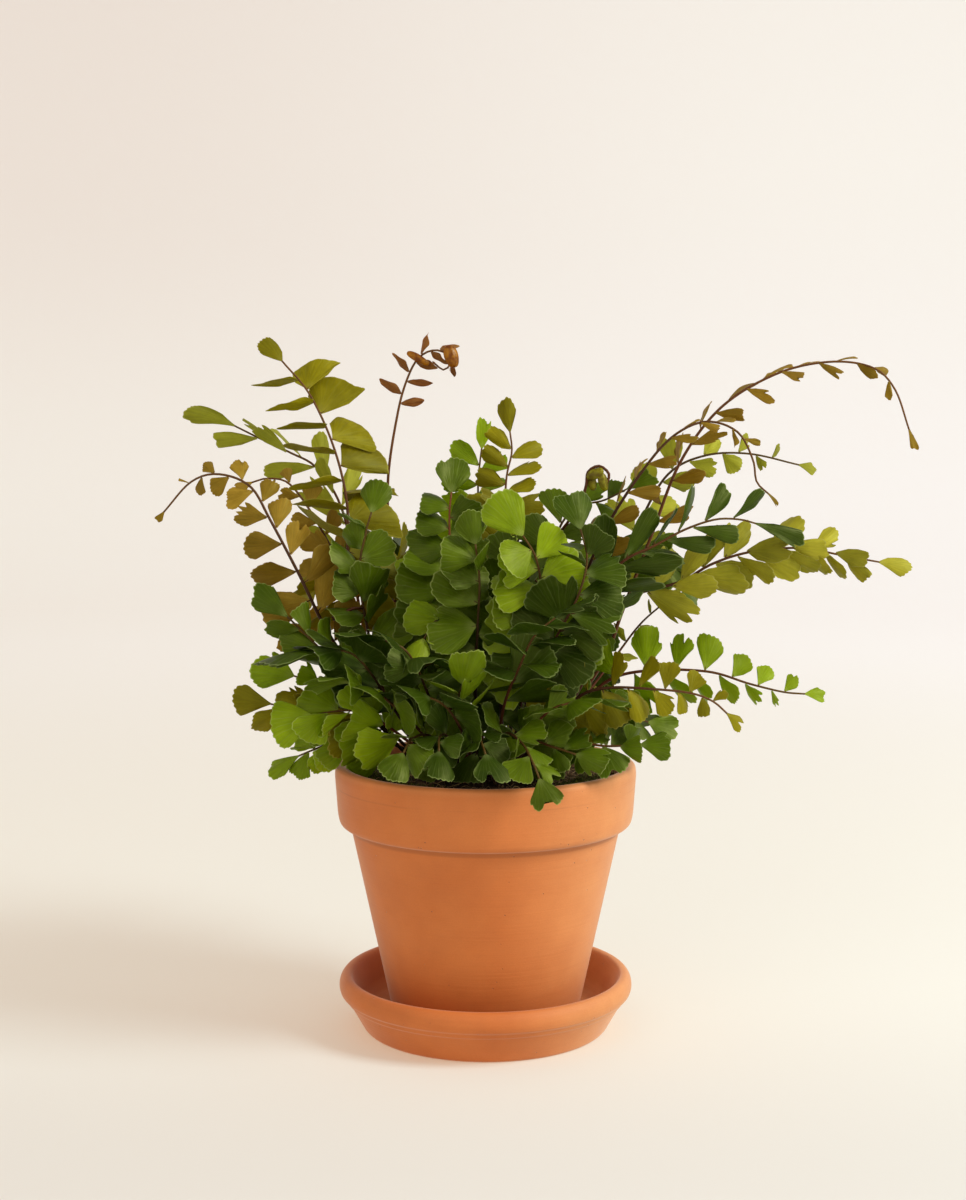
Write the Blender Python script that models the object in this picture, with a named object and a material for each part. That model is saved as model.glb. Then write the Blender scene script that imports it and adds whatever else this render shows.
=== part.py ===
"""A mahogany fern in a clay pot on a clay saucer, at its real size.

The pot, the saucer, the soil and the crown are turned shapes. Each frond is one solid, as it
grew: a thin stalk with flat leaflets. Fronds that give the plant its outline follow routes
chosen by hand. The ones that fill its heart and its back follow a rule. Leaflets are laid
out one after the other, and each one turns aside until it is clear of all that is there.
"""

import math
from collections import namedtuple
from random import Random

import bmesh
import bpy
from mathutils import Matrix, Vector
from mathutils.bvhtree import BVHTree

# Driving dimensions, in metres.
MM = 0.001
GAP = 0.3 * MM
SAUCER_FLOOR = 8.2 * MM
POT_FOOT = SAUCER_FLOOR + GAP
POT_TOP = 137.7 * MM
POT_RADIUS = 77.5 * MM
WALL = 7 * MM
DRAIN_RADIUS = 10 * MM
FOOT_RADIUS = 47 * MM
SOIL_TOP = 130.5 * MM
SOIL_EDGE = 128.5 * MM
CROWN_RADIUS = 37 * MM
CROWN_HEIGHT = 8 * MM
CLAY_SIDES = 36

# Sections of stalks and leaflets.
STALK_THICK = 1.35 * MM
STALK_THIN = 0.55 * MM
BLADE_THICK = 0.9 * MM
LEAF_FOOT = 1.7 * MM
CLEARANCE = 0.5 * MM
STEP_ALONG = 2 * MM

# A stalk has a ring at each leaflet's foot, and more where it runs or bends further than this.
RING_EVERY = 13 * MM
RING_BEND = 7

# How many places a stalk, a leaflet and an end leaflet try before they give up, and the share
# of its size that a leaflet or an end leaflet loses with each try.
STALK_TRIES = 260
LEAF_TRIES = 42
TIP_TRIES = 10
LEAF_LOSS = 0.013
TIP_LOSS = 0.08

# What a leaflet tries where others are in the way: it swings in its plane and twists about its
# midrib, in degrees, and after the first few tries it also lifts towards its face.
SWINGS = (0, 14, -14, 28, -28)
TWISTS = (0, 22, -22, 44, -44, 60)
LIFTS = (0.0, 0.35, -0.35, 0.6)
FLAT_TRIES = 5

# How leaflets of one frond differ: in size, in degrees of lean and roll, and in their droop.
SIZE_SPREAD = (0.88, 1.08)
LEAN_SPREAD = 13
ROLL_SPREAD = 18
MOST_DROOP = 0.35

# Leaflets swell in length from the foot of the leafy part and shrink again to its end. The first
# pair stands this share of the way through the swell. The taper says how soon leaflets pass from
# big to small.
SWELL_START = 0.3
SWELL = 0.12
TAPER = 0.8

# Random numbers set aside for each frond.
FROND_SEEDS = 1000

# How wide a leaflet is for its length.
WIDTH = {"broad": 0.86, "fan": 1.0, "wedge": 0.7, "half": 0.7, "wing": 0.52, "strap": 0.38,
         "sliver": 0.4}

# A blade is widest at a share of its length, and its end is narrower. Both middles lie a
# little above the midrib.
WIDEST_AT = 0.68
WIDEST_RISE = 0.1
END_WIDTH = 0.6
END_RISE = 0.08

# Leaflets overlap like shingles, turned about their midribs. They stand out from the stalk
# near a frond's foot and lean forward near its tip, all in degrees.
SHINGLE = 20
FOOT_LEAN = 8
TIP_LEAN = -16

# The leafy part of a frond ends at a share of the stalk's length, leaflets come closer
# together towards the tip, and left ones grow a little further on than right ones.
LEAFY_END = 0.97
CLOSER = 0.92
STAGGER = 0.22

# Colour of each kind of growth: red, green, blue.
TONES = {
    "deep": (0.035, 0.075, 0.006),
    "green": (0.075, 0.13, 0.007),
    "fresh": (0.17, 0.26, 0.011),
    "olive": (0.17, 0.16, 0.007),
    "pale": (0.23, 0.26, 0.03),
    "bronze": (0.23, 0.135, 0.015),
    "mahogany": (0.2, 0.06, 0.02),
}

# One frond: its stalk starts on the crown at base and runs through the points of via, all in
# millimetres. bare is the part of it with no leaflets. face is where the blades look, lean
# the angle between a leaflet and the stalk, one for both sides or one for each, and roll the
# turn of the left and right leaflets about their own midribs, in degrees. light is how far the
# blades turn from the frond's own face to the light, from 0 to 1.
# loose is how far the tip may move when the stalk shifts to stay clear of another, as a share
# of the foot's own shift.
Frond = namedtuple("Frond", "name tone shape base via count big small bare face lean roll tip "
                            "light loose")
FRONT = (0.1, -1, 0.3)
FRONT_UP = (0.2, -0.8, 0.8)
BACK_UP = (0, 0.3, 1)
LIGHT = Vector((0.35, -0.5, 0.8))


def frond(name, tone, shape, base, via, count, big, small, bare=0.45, face=FRONT, lean=62,
          roll=(0, 0), tip=None, light=0.0, loose=0.1):
    lean = lean if isinstance(lean, tuple) else (lean, lean)
    return Frond(name, tone, shape, base, via, count, big, small, bare, face, lean, roll,
                 small if tip is None else tip, light, loose)


OUTLINE_FRONDS = [
    frond("tall_olive_frond", "olive", "half", (-22, -4), [(-57, -6, 183), (-66, -6, 206),
          (-70, -2, 242), (-71, 4, 272), (-78, 8, 300), (-90, 10, 326), (-104, 10, 343)],
          18, 33, 27, 0.38, (0.3, -1, 0.2), (72, 104), (50, -20), 15),
    frond("arching_bronze_frond", "bronze", "strap", (16, -3), [(39, -4, 191), (50, -8, 232),
          (61, -10, 259), (77, -12, 285), (93, -12, 304), (110, -12, 312), (126, -12, 307),
          (134, -12, 293), (136, -12, 282), (142, -12, 276)],
          16, 21, 8, 0.42, (-0.4, -0.5, 0.8), 36, (0, 10)),
    frond("tall_arching_frond", "bronze", "strap", (22, 3), [(45, 8, 165), (62, 12, 190),
          (71, 14, 214), (86, 14, 254), (100, 12, 291), (120, 8, 319), (147, 2, 336),
          (173, -4, 342), (194, -8, 339), (205, -10, 328), (212, -12, 308)],
          18, 22, 12, 0.42, (-0.25, -0.5, 1), 42, (0, 10), 11),
    frond("crosier_frond", "mahogany", "sliver", (-15, 6), [(-40, 10, 173), (-46, 18, 209),
          (-50, 24, 245), (-51, 28, 282), (-46, 30, 316), (-41, 30, 334), (-35, 28, 345),
          (-27, 24, 349), (-20, 22, 347), (-18, 24, 342), (-22, 28, 339), (-26, 31, 342)],
          10, 14, 10, 0.75, FRONT, 60, (0, 0), 3),
    frond("bronze_left_frond", "bronze", "wedge", (-24, -10), [(-59, -14, 177),
          (-78, -20, 205), (-93, -22, 236), (-107, -22, 263), (-117, -22, 280),
          (-133, -20, 286), (-147, -18, 282), (-161, -16, 267)], 18, 25, 6, 0.36, FRONT, 60),
    frond("bronze_inner_frond", "bronze", "wedge", (-20, 1), [(-55, 2, 180), (-69, 8, 210),
          (-76, 12, 238), (-88, 14, 262), (-101, 14, 280), (-112, 12, 283), (-120, 10, 281)],
          12, 25, 9, 0.42, FRONT, 60),
    frond("pale_left_frond", "pale", "strap", (-21, 8), [(-52, 12, 173), (-65, 24, 209),
          (-74, 30, 262), (-88, 34, 287), (-103, 36, 296), (-118, 36, 303), (-132, 36, 310)],
          14, 34, 24, 0.4, (0.2, -1, 0.6), 32, (0, 10), 28),
    frond("upright_olive_frond", "olive", "wing", (3, 12), [(9, 26, 198), (10, 36, 250),
          (11, 42, 281), (14, 44, 296), (13, 44, 307)],
          20, 27, 19, 0.36, FRONT, (76, 84), (-20, -20), 17),
    frond("upright_green_frond", "fresh", "wing", (-3, 15), [(-2, 36, 192), (-3, 54, 242),
          (-4, 58, 276), (-3, 60, 290), (-2, 60, 298)], 18, 28, 21, 0.36, FRONT, (84, 72), (-20, -20), 17),
    frond("red_stalk_frond", "green", "broad", (-9, -8), [(-21, -18, 182), (-20, -20, 213),
          (-18, -22, 243), (-18, -22, 266), (-17, -20, 277)], 14, 27, 19, 0.44, FRONT, 72,
          light=0.8),
    frond("bright_fan_frond", "fresh", "fan", (9, -11), [(23, -24, 178), (27, -36, 215),
          (27, -42, 233), (24, -46, 247), (18, -48, 257)], 12, 30, 23, 0.44, FRONT, 68, light=0.8),
    frond("red_side_frond", "green", "wedge", (13, 2), [(27, 2, 190), (32, 6, 231),
          (38, 6, 258), (48, 4, 269), (60, 2, 272), (72, 0, 278)], 12, 25, 15, 0.42, FRONT_UP, 62,
          light=0.6),
    frond("light_rear_frond", "pale", "wedge", (18, 12), [(50, 30, 187), (68, 48, 222),
          (84, 58, 259), (99, 62, 284), (119, 64, 294), (143, 64, 295), (170, 64, 289)],
          14, 25, 10, 0.42, FRONT, 50),
    frond("strap_leaf_frond", "deep", "strap", (22, -8), [(44, -18, 203), (57, -26, 231),
          (69, -30, 244), (83, -32, 251), (98, -32, 259), (113, -32, 264), (125, -32, 264),
          (133, -32, 262)], 14, 31, 24, 0.42, FRONT, 26, (-20, 0), 27),
    frond("long_olive_frond", "olive", "wing", (20, -5), [(47, -6, 176), (58, -12, 207),
          (72, -16, 224), (97, -18, 232), (113, -18, 241), (132, -18, 247), (157, -18, 249),
          (180, -18, 245), (197, -18, 242)], 20, 26, 19, 0.47, FRONT, (32, 24), (0, 0), 17),
    frond("thin_side_frond", "pale", "sliver", (20, 16), [(51, 40, 164), (69, 52, 184),
          (84, 56, 203), (99, 58, 216)], 7, 13, 10, 0.45, FRONT, 66, (30, 0), 11),
    frond("olive_front_frond", "olive", "wedge", (14, -18), [(33, -34, 162), (46, -44, 178),
          (60, -50, 183), (80, -54, 183), (99, -54, 181), (110, -54, 177), (117, -54, 171)],
          14, 22, 11, 0.3, FRONT, 84),
    frond("green_right_frond", "fresh", "wedge", (18, -10), [(38, 2, 160), (57, 2, 179),
          (79, 0, 185), (110, -4, 185), (132, -6, 179), (150, -8, 175), (162, -8, 174)],
          14, 24, 11, 0.34, FRONT, (88, 64), (-20, 50)),
    frond("low_right_frond", "green", "fan", (20, -15), [(33, -20, 155), (50, -28, 166),
          (64, -30, 168), (81, -30, 163)], 12, 21, 16, 0.26, FRONT_UP, 70, light=0.5),
    frond("rim_right_frond", "green", "fan", (19, -21), [(30, -32, 150), (44, -48, 156),
          (58, -54, 155), (75, -56, 156)], 12, 20, 15, 0.26, FRONT_UP, 74, light=0.5),
    frond("bright_front_frond", "fresh", "broad", (-3, -24), [(-9, -50, 166), (-13, -66, 179),
          (-11, -74, 188)], 4, 22, 20, 0.62, FRONT, 74, (0, 0), 20),
    frond("broad_left_frond", "deep", "broad", (-20, -18), [(-43, -36, 167), (-55, -50, 189),
          (-65, -58, 201), (-78, -62, 203)], 8, 34, 29, 0.44, BACK_UP, 64, (0, 0), 32, 0.8),
    frond("small_left_frond", "green", "wedge", (-24, -14), [(-49, -22, 167),
          (-70, -30, 188), (-86, -32, 204), (-98, -32, 216)], 10, 25, 20, 0.36, FRONT, 55, (0, 0), 21),
    frond("olive_low_left_frond", "olive", "wedge", (-25, -12), [(-53, -22, 162),
          (-72, -32, 171), (-89, -36, 169), (-106, -36, 173)], 12, 28, 20, 0.32, FRONT, 60),
    frond("rim_left_frond", "fresh", "wedge", (-25, -5), [(-48, -6, 148), (-68, -12, 153),
          (-83, -14, 148), (-95, -14, 143)], 12, 25, 18, 0.3, FRONT_UP, 56, light=0.5),
    frond("bright_low_left_frond", "fresh", "fan", (-18, -22), [(-47, -42, 162),
          (-60, -56, 172), (-73, -60, 173), (-83, -62, 171)], 10, 26, 21, 0.32, FRONT, 66),
    frond("front_rim_frond_1", "green", "fan", (-14, -26), [(-26, -52, 159), (-35, -68, 161),
          (-39, -80, 156)], 8, 20, 16, 0.2, FRONT, 66, light=0.4),
    frond("front_rim_frond_2", "deep", "fan", (-8, -28), [(-18, -54, 159), (-22, -70, 162),
          (-22, -81, 157)], 8, 21, 16, 0.2, FRONT, 66, light=0.4),
    frond("front_rim_frond_3", "deep", "fan", (0, -29), [(-6, -56, 160), (-3, -72, 162),
          (0, -83, 156)], 8, 20, 16, 0.2, FRONT, 66, light=0.4),
    frond("front_rim_frond_4", "green", "fan", (6, -27), [(9, -56, 161), (17, -74, 160),
          (22, -86, 153), (25, -91, 146)], 10, 20, 15, 0.2, FRONT, 60),
    frond("front_rim_frond_5", "green", "fan", (12, -25), [(21, -50, 156), (33, -64, 156),
          (43, -71, 154)], 8, 20, 16, 0.2, FRONT, 66, light=0.4),
    frond("dark_right_frond", "deep", "fan", (11, -15), [(22, -30, 174), (34, -44, 206),
          (44, -50, 226), (49, -50, 245), (46, -46, 260)], 16, 28, 20, 0.34, FRONT, 70, light=0.8),
    frond("dark_centre_frond", "deep", "fan", (4, -20), [(9, -48, 174), (16, -60, 194),
          (23, -66, 210), (33, -68, 219)], 12, 29, 23, 0.28, BACK_UP, 68, light=0.9),
    frond("dark_left_frond", "deep", "fan", (-11, -18), [(-26, -44, 174), (-33, -60, 194),
          (-39, -66, 204), (-48, -66, 208)], 12, 29, 23, 0.28, BACK_UP, 68, light=0.9),
    frond("mid_left_frond", "green", "broad", (-18, -9), [(-51, -16, 182), (-60, -20, 213),
          (-63, -20, 238), (-60, -20, 256), (-57, -18, 267)], 14, 26, 18, 0.42, FRONT, 66, light=0.7),
    frond("low_left_inner_frond", "green", "fan", (-16, -24), [(-38, -44, 165), (-49, -58, 178),
          (-57, -66, 184), (-65, -70, 188)], 10, 25, 20, 0.32, BACK_UP, 66, light=0.8),
    frond("low_centre_frond", "deep", "fan", (-6, -26), [(-12, -52, 160), (-18, -66, 174),
          (-25, -74, 181), (-33, -78, 183)], 10, 24, 19, 0.28, BACK_UP, 66, light=0.8),
    frond("low_right_inner_frond", "green", "fan", (10, -22), [(22, -44, 160), (30, -56, 172),
          (39, -62, 177), (51, -64, 179)], 10, 24, 19, 0.3, BACK_UP, 66, light=0.8),
    frond("mid_centre_frond", "green", "broad", (-2, -16), [(-5, -30, 179), (-4, -40, 210),
          (-3, -46, 235), (-5, -50, 253)], 12, 28, 22, 0.38, FRONT, 68, light=0.8),
    frond("far_left_low_frond", "fresh", "fan", (-26, -8), [(-47, -24, 159), (-66, -30, 174),
          (-81, -34, 183), (-94, -36, 187)], 10, 26, 20, 0.32, FRONT, 62),
]

# Fronds of the heart stand almost upright, and those of the back arch away to the rear.
HEART_COUNT = 6
BACK_COUNT = 9
GOLDEN_TURN = math.radians(137.5)

# An arch starts this far from the axis, rises through these shares of its reach and height
# above the brim, and its leaflets look up and a little back to where it came from. All in
# millimetres and degrees.
BRIM = 137
ARCH_BASE = 6
BASE_SPREAD = 0.16
ARCH_STEPS = ((0.3, 0.45), (0.42, 0.75), (0.62, 0.96), (0.82, 1))
ARCH_FACE = Vector((0.25, -0.35, 1))
FACE_BACK = 0.4
ARCH_LEAN = 66
ARCH_LIGHT = 0.8
ARCH_LOOSE = 1.6
SMALL_SHARE = 0.8


def arch(name, tone, shape, bearing, reach, height, drop, count, big, bare):
    """A frond that rises from the crown and arches out along a bearing, in millimetres."""
    out = Vector((math.cos(bearing), math.sin(bearing), 0))
    base = out * (ARCH_BASE + BASE_SPREAD * reach)
    via = [(out.x * reach * far, out.y * reach * far, BRIM + height * up)
           for far, up in ARCH_STEPS]
    via.append((out.x * reach, out.y * reach, BRIM + height - drop))
    return frond(name, tone, shape, (base.x, base.y), via, count, big, SMALL_SHARE * big, bare,
                 tuple(ARCH_FACE - FACE_BACK * out), ARCH_LEAN, light=ARCH_LIGHT, loose=ARCH_LOOSE)


def ruled_fronds():
    """The fronds that fill the heart of the plant, and the ones that arch out behind it."""
    made = []
    for k in range(HEART_COUNT):
        tone = ("green", "fresh", "green", "deep", "fresh", "green")[k]
        made.append(arch(f"heart_frond_{k + 1}", tone, "broad", 0.7 + k * GOLDEN_TURN,
                         34 + 4 * k, 117 - 10 * k, 4 + k, 18, 26, 0.28 - 0.02 * k))
    for k in range(BACK_COUNT):
        bearing = math.radians(24 + 140 * k / (BACK_COUNT - 1))
        low = k % 2
        tone = ("green", "deep", "green", "olive", "deep")[k % 5]
        made.append(arch(f"back_frond_{k + 1}", tone, ("fan", "wedge")[low], bearing,
                         108 - 16 * low, 108 - 52 * low, 14 + 6 * low, 14 + 4 * low, 29,
                         0.28 - 0.12 * low))
    return made


class Path:
    """A smooth curve through a route's points, which knows where it is at any length."""

    def __init__(self, route):
        knots = [Vector(point) for point in route]
        ends = [2 * knots[0] - knots[1], *knots, 2 * knots[-1] - knots[-2]]
        dense = [knots[0]]
        for a, b, c, d in zip(ends, ends[1:], ends[2:], ends[3:]):
            steps = max(2, round((c - b).length / STEP_ALONG))
            for step in range(1, steps + 1):
                t = step / steps
                dense.append(0.5 * (2 * b + (c - a) * t + (2 * a - 5 * b + 4 * c - d) * t * t
                                    + (3 * b - a - 3 * c + d) * t ** 3))
        self.points = dense
        self.lengths = [0.0]
        for start, end in zip(dense, dense[1:]):
            self.lengths.append(self.lengths[-1] + (end - start).length)
        self.length = self.lengths[-1]

    def at(self, along):
        along = min(max(along, 0.0), self.length)
        k = 1
        while self.lengths[k] < along and k < len(self.lengths) - 1:
            k += 1
        share = (along - self.lengths[k - 1]) / (self.lengths[k] - self.lengths[k - 1])
        return self.points[k - 1].lerp(self.points[k], share)

    def along(self, where):
        """The direction of growth."""
        return (self.at(where + STEP_ALONG) - self.at(where - STEP_ALONG)).normalized()


class Leaf:
    """One leaflet: foot, midrib direction, side that points up the stalk, face and size.

    root is how thick it is where it grows out of the stalk.
    """

    def __init__(self, foot, midrib, face, length, width, side, root):
        self.foot = foot
        self.root = root
        self.midrib = midrib
        self.face = (face - face.dot(midrib) * midrib).normalized()
        self.up = self.face.cross(midrib).normalized() * side
        self.length = length
        self.width = width
        self.side = side

    def section(self, share, width, thick, shift=0.0):
        """Four corners of the blade's section at a share of its length."""
        middle = self.foot + self.midrib * (share * self.length) + self.up * (shift * self.width)
        across = self.up * (width / 2)
        through = self.face * (thick / 2 * self.side)
        return [middle - across - through, middle - across + through,
                middle + across + through, middle + across - through]

    def sections(self):
        return [self.section(WIDEST_AT, self.width, BLADE_THICK, WIDEST_RISE),
                self.section(1.0, END_WIDTH * self.width, BLADE_THICK, END_RISE)]

    def guard(self, start=0.03):
        """A slightly fatter blade, which has to stay clear of everything."""
        thick = BLADE_THICK + 2 * CLEARANCE
        wide = self.width + CLEARANCE
        foot = LEAF_FOOT + (wide - LEAF_FOOT) * start / WIDEST_AT
        root = thick + (self.root - BLADE_THICK) * (1 - start / WIDEST_AT)
        return shell([self.section(start, foot + CLEARANCE, root, WIDEST_RISE * start),
                      self.section(WIDEST_AT, wide, thick, WIDEST_RISE),
                      self.section(1.02, END_WIDTH * wide + CLEARANCE, thick, END_RISE)])


def shell(sections):
    """Corners and faces of a closed shape that runs through sections of four corners."""
    corners = [corner for section in sections for corner in section]
    faces = [(0, 1, 2, 3), tuple(range(len(corners) - 4, len(corners)))]
    for k in range(0, len(corners) - 4, 4):
        faces += [(k + i, k + (i + 1) % 4, k + 4 + (i + 1) % 4, k + 4 + i) for i in range(4)]
    return corners, faces


class Stalk:
    """The stalk of a frond: a path with a frame that knows left, right and face."""

    def __init__(self, spec, shift):
        start = Vector(spec.base)
        route = [Vector((start.x, start.y, 0))]
        route += [Vector(point) for point in spec.via]
        last = len(route) - 1
        for k, point in enumerate(route):
            point.xy += shift * (1 + (spec.loose - 1) * k / last)
        inner_side = max(route[0].xy.length * MM - STALK_THICK, 0.0)
        route[0].z = (seat_height(inner_side) + GAP) / MM
        self.path = Path([point * MM for point in route])
        self.face = Vector(spec.face).normalized()
        self.length = self.path.length
        size = min(1.0, self.length / 0.2)
        self.thick = STALK_THICK * (0.7 + 0.3 * size)

    def radius(self, where):
        share = min(max(where / self.length, 0.0), 1.0)
        return self.thick + (STALK_THIN - self.thick) * share

    def frame(self, where):
        """Place, growth, right and face at a length along the stalk."""
        growth = self.path.along(where)
        right = growth.cross(self.face).normalized()
        return self.path.at(where), growth, right, right.cross(growth)

    def ring(self, left, right, spare=0.0):
        """Four corners: the left ones at one length along the stalk, the right ones at another.

        The foot's ring is level.
        """
        corners = []
        for where, sideways, forward in ((left, -1, -1), (right, 1, -1), (right, 1, 1), (left, -1, 1)):
            place, _, across, face = self.frame(where)
            size = self.radius(where) + spare
            corners.append(place + across * (sideways * size) + face * (forward * size))
        if left == right == 0:
            for corner in corners:
                corner.z = self.path.points[0].z
        return corners

    def guard(self):
        """A slightly fatter stalk, from the crown to the tip."""
        count = max(4, round(self.length / (8 * MM)))
        lengths = [self.length * k / count for k in range(count + 1)]
        return shell([self.ring(where, where, CLEARANCE) for where in lengths])


class Field:
    """Everything that is already in place, so that what comes next can stay clear of it."""

    def __init__(self):
        self.trees = []

    def add(self, shape, owner=None):
        corners, faces = shape
        low = [min(corner[i] for corner in corners) for i in range(3)]
        high = [max(corner[i] for corner in corners) for i in range(3)]
        self.trees.append((BVHTree.FromPolygons(corners, faces), low, high, owner))

    def hits(self, shape, but=None):
        corners, faces = shape
        low = [min(corner[i] for corner in corners) for i in range(3)]
        high = [max(corner[i] for corner in corners) for i in range(3)]
        tree = None
        for other, bottom, top, owner in self.trees:
            if owner is not None and owner == but:
                continue
            if any(low[i] > top[i] or bottom[i] > high[i] for i in range(3)):
                continue
            tree = tree or BVHTree.FromPolygons(corners, faces)
            if tree.overlap(other):
                return True
        return False


def seat_height(radius):
    """Height of the crown's surface at a distance from its axis."""
    share = min(radius / CROWN_RADIUS, 1.0)
    return SOIL_TOP + GAP + CROWN_HEIGHT * (1 - share ** 2.5)


def place_stalk(spec, field):
    """The frond's stalk, moved aside in a widening spiral until it is clear."""
    for attempt in range(STALK_TRIES):
        turn = Vector((math.cos(attempt * GOLDEN_TURN), math.sin(attempt * GOLDEN_TURN)))
        stalk = Stalk(spec, turn * (0.85 * math.sqrt(attempt)))
        guard = stalk.guard()
        if not field.hits(guard):
            field.add(guard, spec.name)
            return stalk
    raise RuntimeError(f"{spec.name} finds no room for its stalk")


def leaf_stations(spec, stalk):
    """Pairs of lengths along the stalk where a left and a right leaflet grow."""
    pairs = max(1, spec.count // 2)
    start, end = spec.bare * stalk.length, LEAFY_END * stalk.length
    spacing = (end - start) / pairs
    stations = []
    for k in range(pairs):
        where = start + (end - start) * ((k + 0.35) / pairs) ** CLOSER
        shift = STAGGER * spacing
        stations.append((where + shift, where - shift))
    return stations


def place_leaf(spec, stalk, field, where, side, share, seed):
    """One leaflet, turned, lifted or made smaller until it is clear of its neighbours."""
    random = Random(seed)
    place, growth, right, face = stalk.frame(where)
    swell = 1 - SWELL + SWELL * math.sin(math.pi * min(1.0, share + SWELL_START))
    length = (spec.small + (spec.big - spec.small) * (1 - share) ** TAPER) * swell * MM
    length *= random.uniform(*SIZE_SPREAD)
    lean = spec.lean[side > 0] + FOOT_LEAN + (TIP_LEAN - FOOT_LEAN) * share
    lean += random.uniform(-LEAN_SPREAD, LEAN_SPREAD)
    roll = (spec.roll[side > 0] + SHINGLE) * side + random.uniform(-ROLL_SPREAD, ROLL_SPREAD)
    droop = random.uniform(0.0, MOST_DROOP)
    lit = face.lerp(LIGHT, spec.light)
    foot = place + right * (side * stalk.radius(where))
    root = 2 * stalk.radius(where)
    for attempt in range(LEAF_TRIES):
        swing = SWINGS[attempt % len(SWINGS)]
        twist = TWISTS[attempt % len(TWISTS)]
        size = length * (1 - LEAF_LOSS * attempt)
        angle = math.radians(lean + swing)
        midrib = (growth * math.cos(angle) + right * (side * math.sin(angle))
                  + Vector((0, 0, -droop))).normalized()
        if attempt >= FLAT_TRIES:
            midrib = (midrib + face * LIFTS[attempt % len(LIFTS)]).normalized()
        turned = Matrix.Rotation(math.radians(roll + twist), 3, midrib) @ lit
        leaf = Leaf(foot, midrib, turned, size, size * WIDTH[spec.shape], side, root)
        if not field.hits(leaf.guard(), spec.name) and not field.hits(leaf.guard(0.3)):
            field.add(leaf.guard())
            return leaf
    return None


def place_tip(spec, stalk, field):
    """The leaflet at the frond's end, or none if there is no room for it."""
    place, growth, right, face = stalk.frame(stalk.length)
    for attempt in range(TIP_TRIES):
        size = spec.tip * MM * (1 - TIP_LOSS * attempt)
        width = 0.9 * size * WIDTH[spec.shape]
        leaf = Leaf(place, growth, face, size, width, 1, 2 * STALK_THIN)
        if not field.hits(leaf.guard(), spec.name):
            field.add(leaf.guard())
            return leaf
    return None


def lay_out(specs, obstacles):
    """Stalks first, then leaflets: a list of (frond, stalk, pairs of leaflets, tip)."""
    field = Field()
    for shape in obstacles:
        field.add(shape)
    stalks = [place_stalk(spec, field) for spec in specs]
    laid = []
    for number, (spec, stalk) in enumerate(zip(specs, stalks)):
        tip = place_tip(spec, stalk, field)
        stations = leaf_stations(spec, stalk)
        pairs = []
        for k, (left, right) in enumerate(stations):
            share = k / max(1, len(stations) - 1)
            seed = FROND_SEEDS * number + 2 * k
            pairs.append((left, right,
                          place_leaf(spec, stalk, field, left, -1, share, seed),
                          place_leaf(spec, stalk, field, right, 1, share, seed + 1)))
        laid.append((spec, stalk, pairs, tip))
    return laid


def outline_rings(profile, sides):
    """Corners and faces of a turned wall, for the field of obstacles."""
    corners, faces = [], []
    for radius, height in profile:
        for k in range(sides):
            angle = math.tau * k / sides
            corners.append(Vector((radius * math.cos(angle), radius * math.sin(angle), height)))
    for row in range(len(profile) - 1):
        for k in range(sides):
            a, b = row * sides + k, row * sides + (k + 1) % sides
            faces.append((a, b, b + sides, a + sides))
    return corners, faces


def finish(obj, colour, roughness):
    """The object's own material."""
    material = bpy.data.materials.new(f"{obj.name}_finish")
    material.use_nodes = True
    shader = material.node_tree.nodes["Principled BSDF"]
    shader.inputs["Base Color"].default_value = (*colour, 1)
    shader.inputs["Roughness"].default_value = roughness
    shader.inputs["Metallic"].default_value = 0.0
    obj.data.materials.append(material)


def object_from(bm, name, parent, colour, roughness):
    bmesh.ops.recalc_face_normals(bm, faces=bm.faces)
    mesh = bpy.data.meshes.new(name)
    bm.to_mesh(mesh)
    bm.free()
    obj = bpy.data.objects.new(name, mesh)
    bpy.context.scene.collection.objects.link(obj)
    obj.parent = parent
    finish(obj, colour, roughness)
    return obj


def turned(name, profile, sides, parent, colour, roughness):
    """A solid turned about the upright axis from a profile of (radius, height)."""
    bm = bmesh.new()
    verts = [bm.verts.new((radius, 0, height)) for radius, height in profile]
    edges = [bm.edges.new(pair) for pair in zip(verts, verts[1:])]
    if profile[0][0] > 0:
        edges.append(bm.edges.new((verts[-1], verts[0])))
    bmesh.ops.spin(bm, geom=verts + edges, axis=(0, 0, 1), cent=(0, 0, 0),
                   angle=math.tau, steps=sides, use_merge=True)
    bmesh.ops.remove_doubles(bm, verts=bm.verts, dist=1e-6)
    obj = object_from(bm, name, parent, colour, roughness)
    obj.data.shade_smooth()
    obj.data.set_sharp_from_angle(angle=math.radians(32))
    return obj


def pot_profile():
    """Rim band with a rounded lip, tapering body, thick floor with a drain hole."""
    band_foot = 107.5 * MM
    outer = [(DRAIN_RADIUS, POT_FOOT), (FOOT_RADIUS, POT_FOOT),
             (FOOT_RADIUS + 1.6 * MM, POT_FOOT + 0.7 * MM), (69 * MM, band_foot - 4 * MM),
             (69.6 * MM, band_foot - 2.4 * MM), (73 * MM, band_foot - 1.2 * MM),
             (75.2 * MM, band_foot + 0.6 * MM), (75.9 * MM, band_foot + 3 * MM)]
    lip = [(POT_RADIUS, POT_TOP - 4.5 * MM), (POT_RADIUS - 0.7 * MM, POT_TOP - 1.6 * MM),
           (POT_RADIUS - 2.4 * MM, POT_TOP), (POT_RADIUS - 5 * MM, POT_TOP - 0.2 * MM),
           (POT_RADIUS - WALL, POT_TOP - 2 * MM)]
    inner = [(FOOT_RADIUS - 3.6 * MM, POT_FOOT + WALL), (DRAIN_RADIUS, POT_FOOT + WALL)]
    return outer + lip + inner


def inner_radius(height):
    """The pot's inner radius at a height."""
    floor, brim = POT_FOOT + WALL, POT_TOP - 2 * MM
    low, high = FOOT_RADIUS - 3.6 * MM, POT_RADIUS - WALL
    return low + (high - low) * (height - floor) / (brim - floor)


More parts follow.
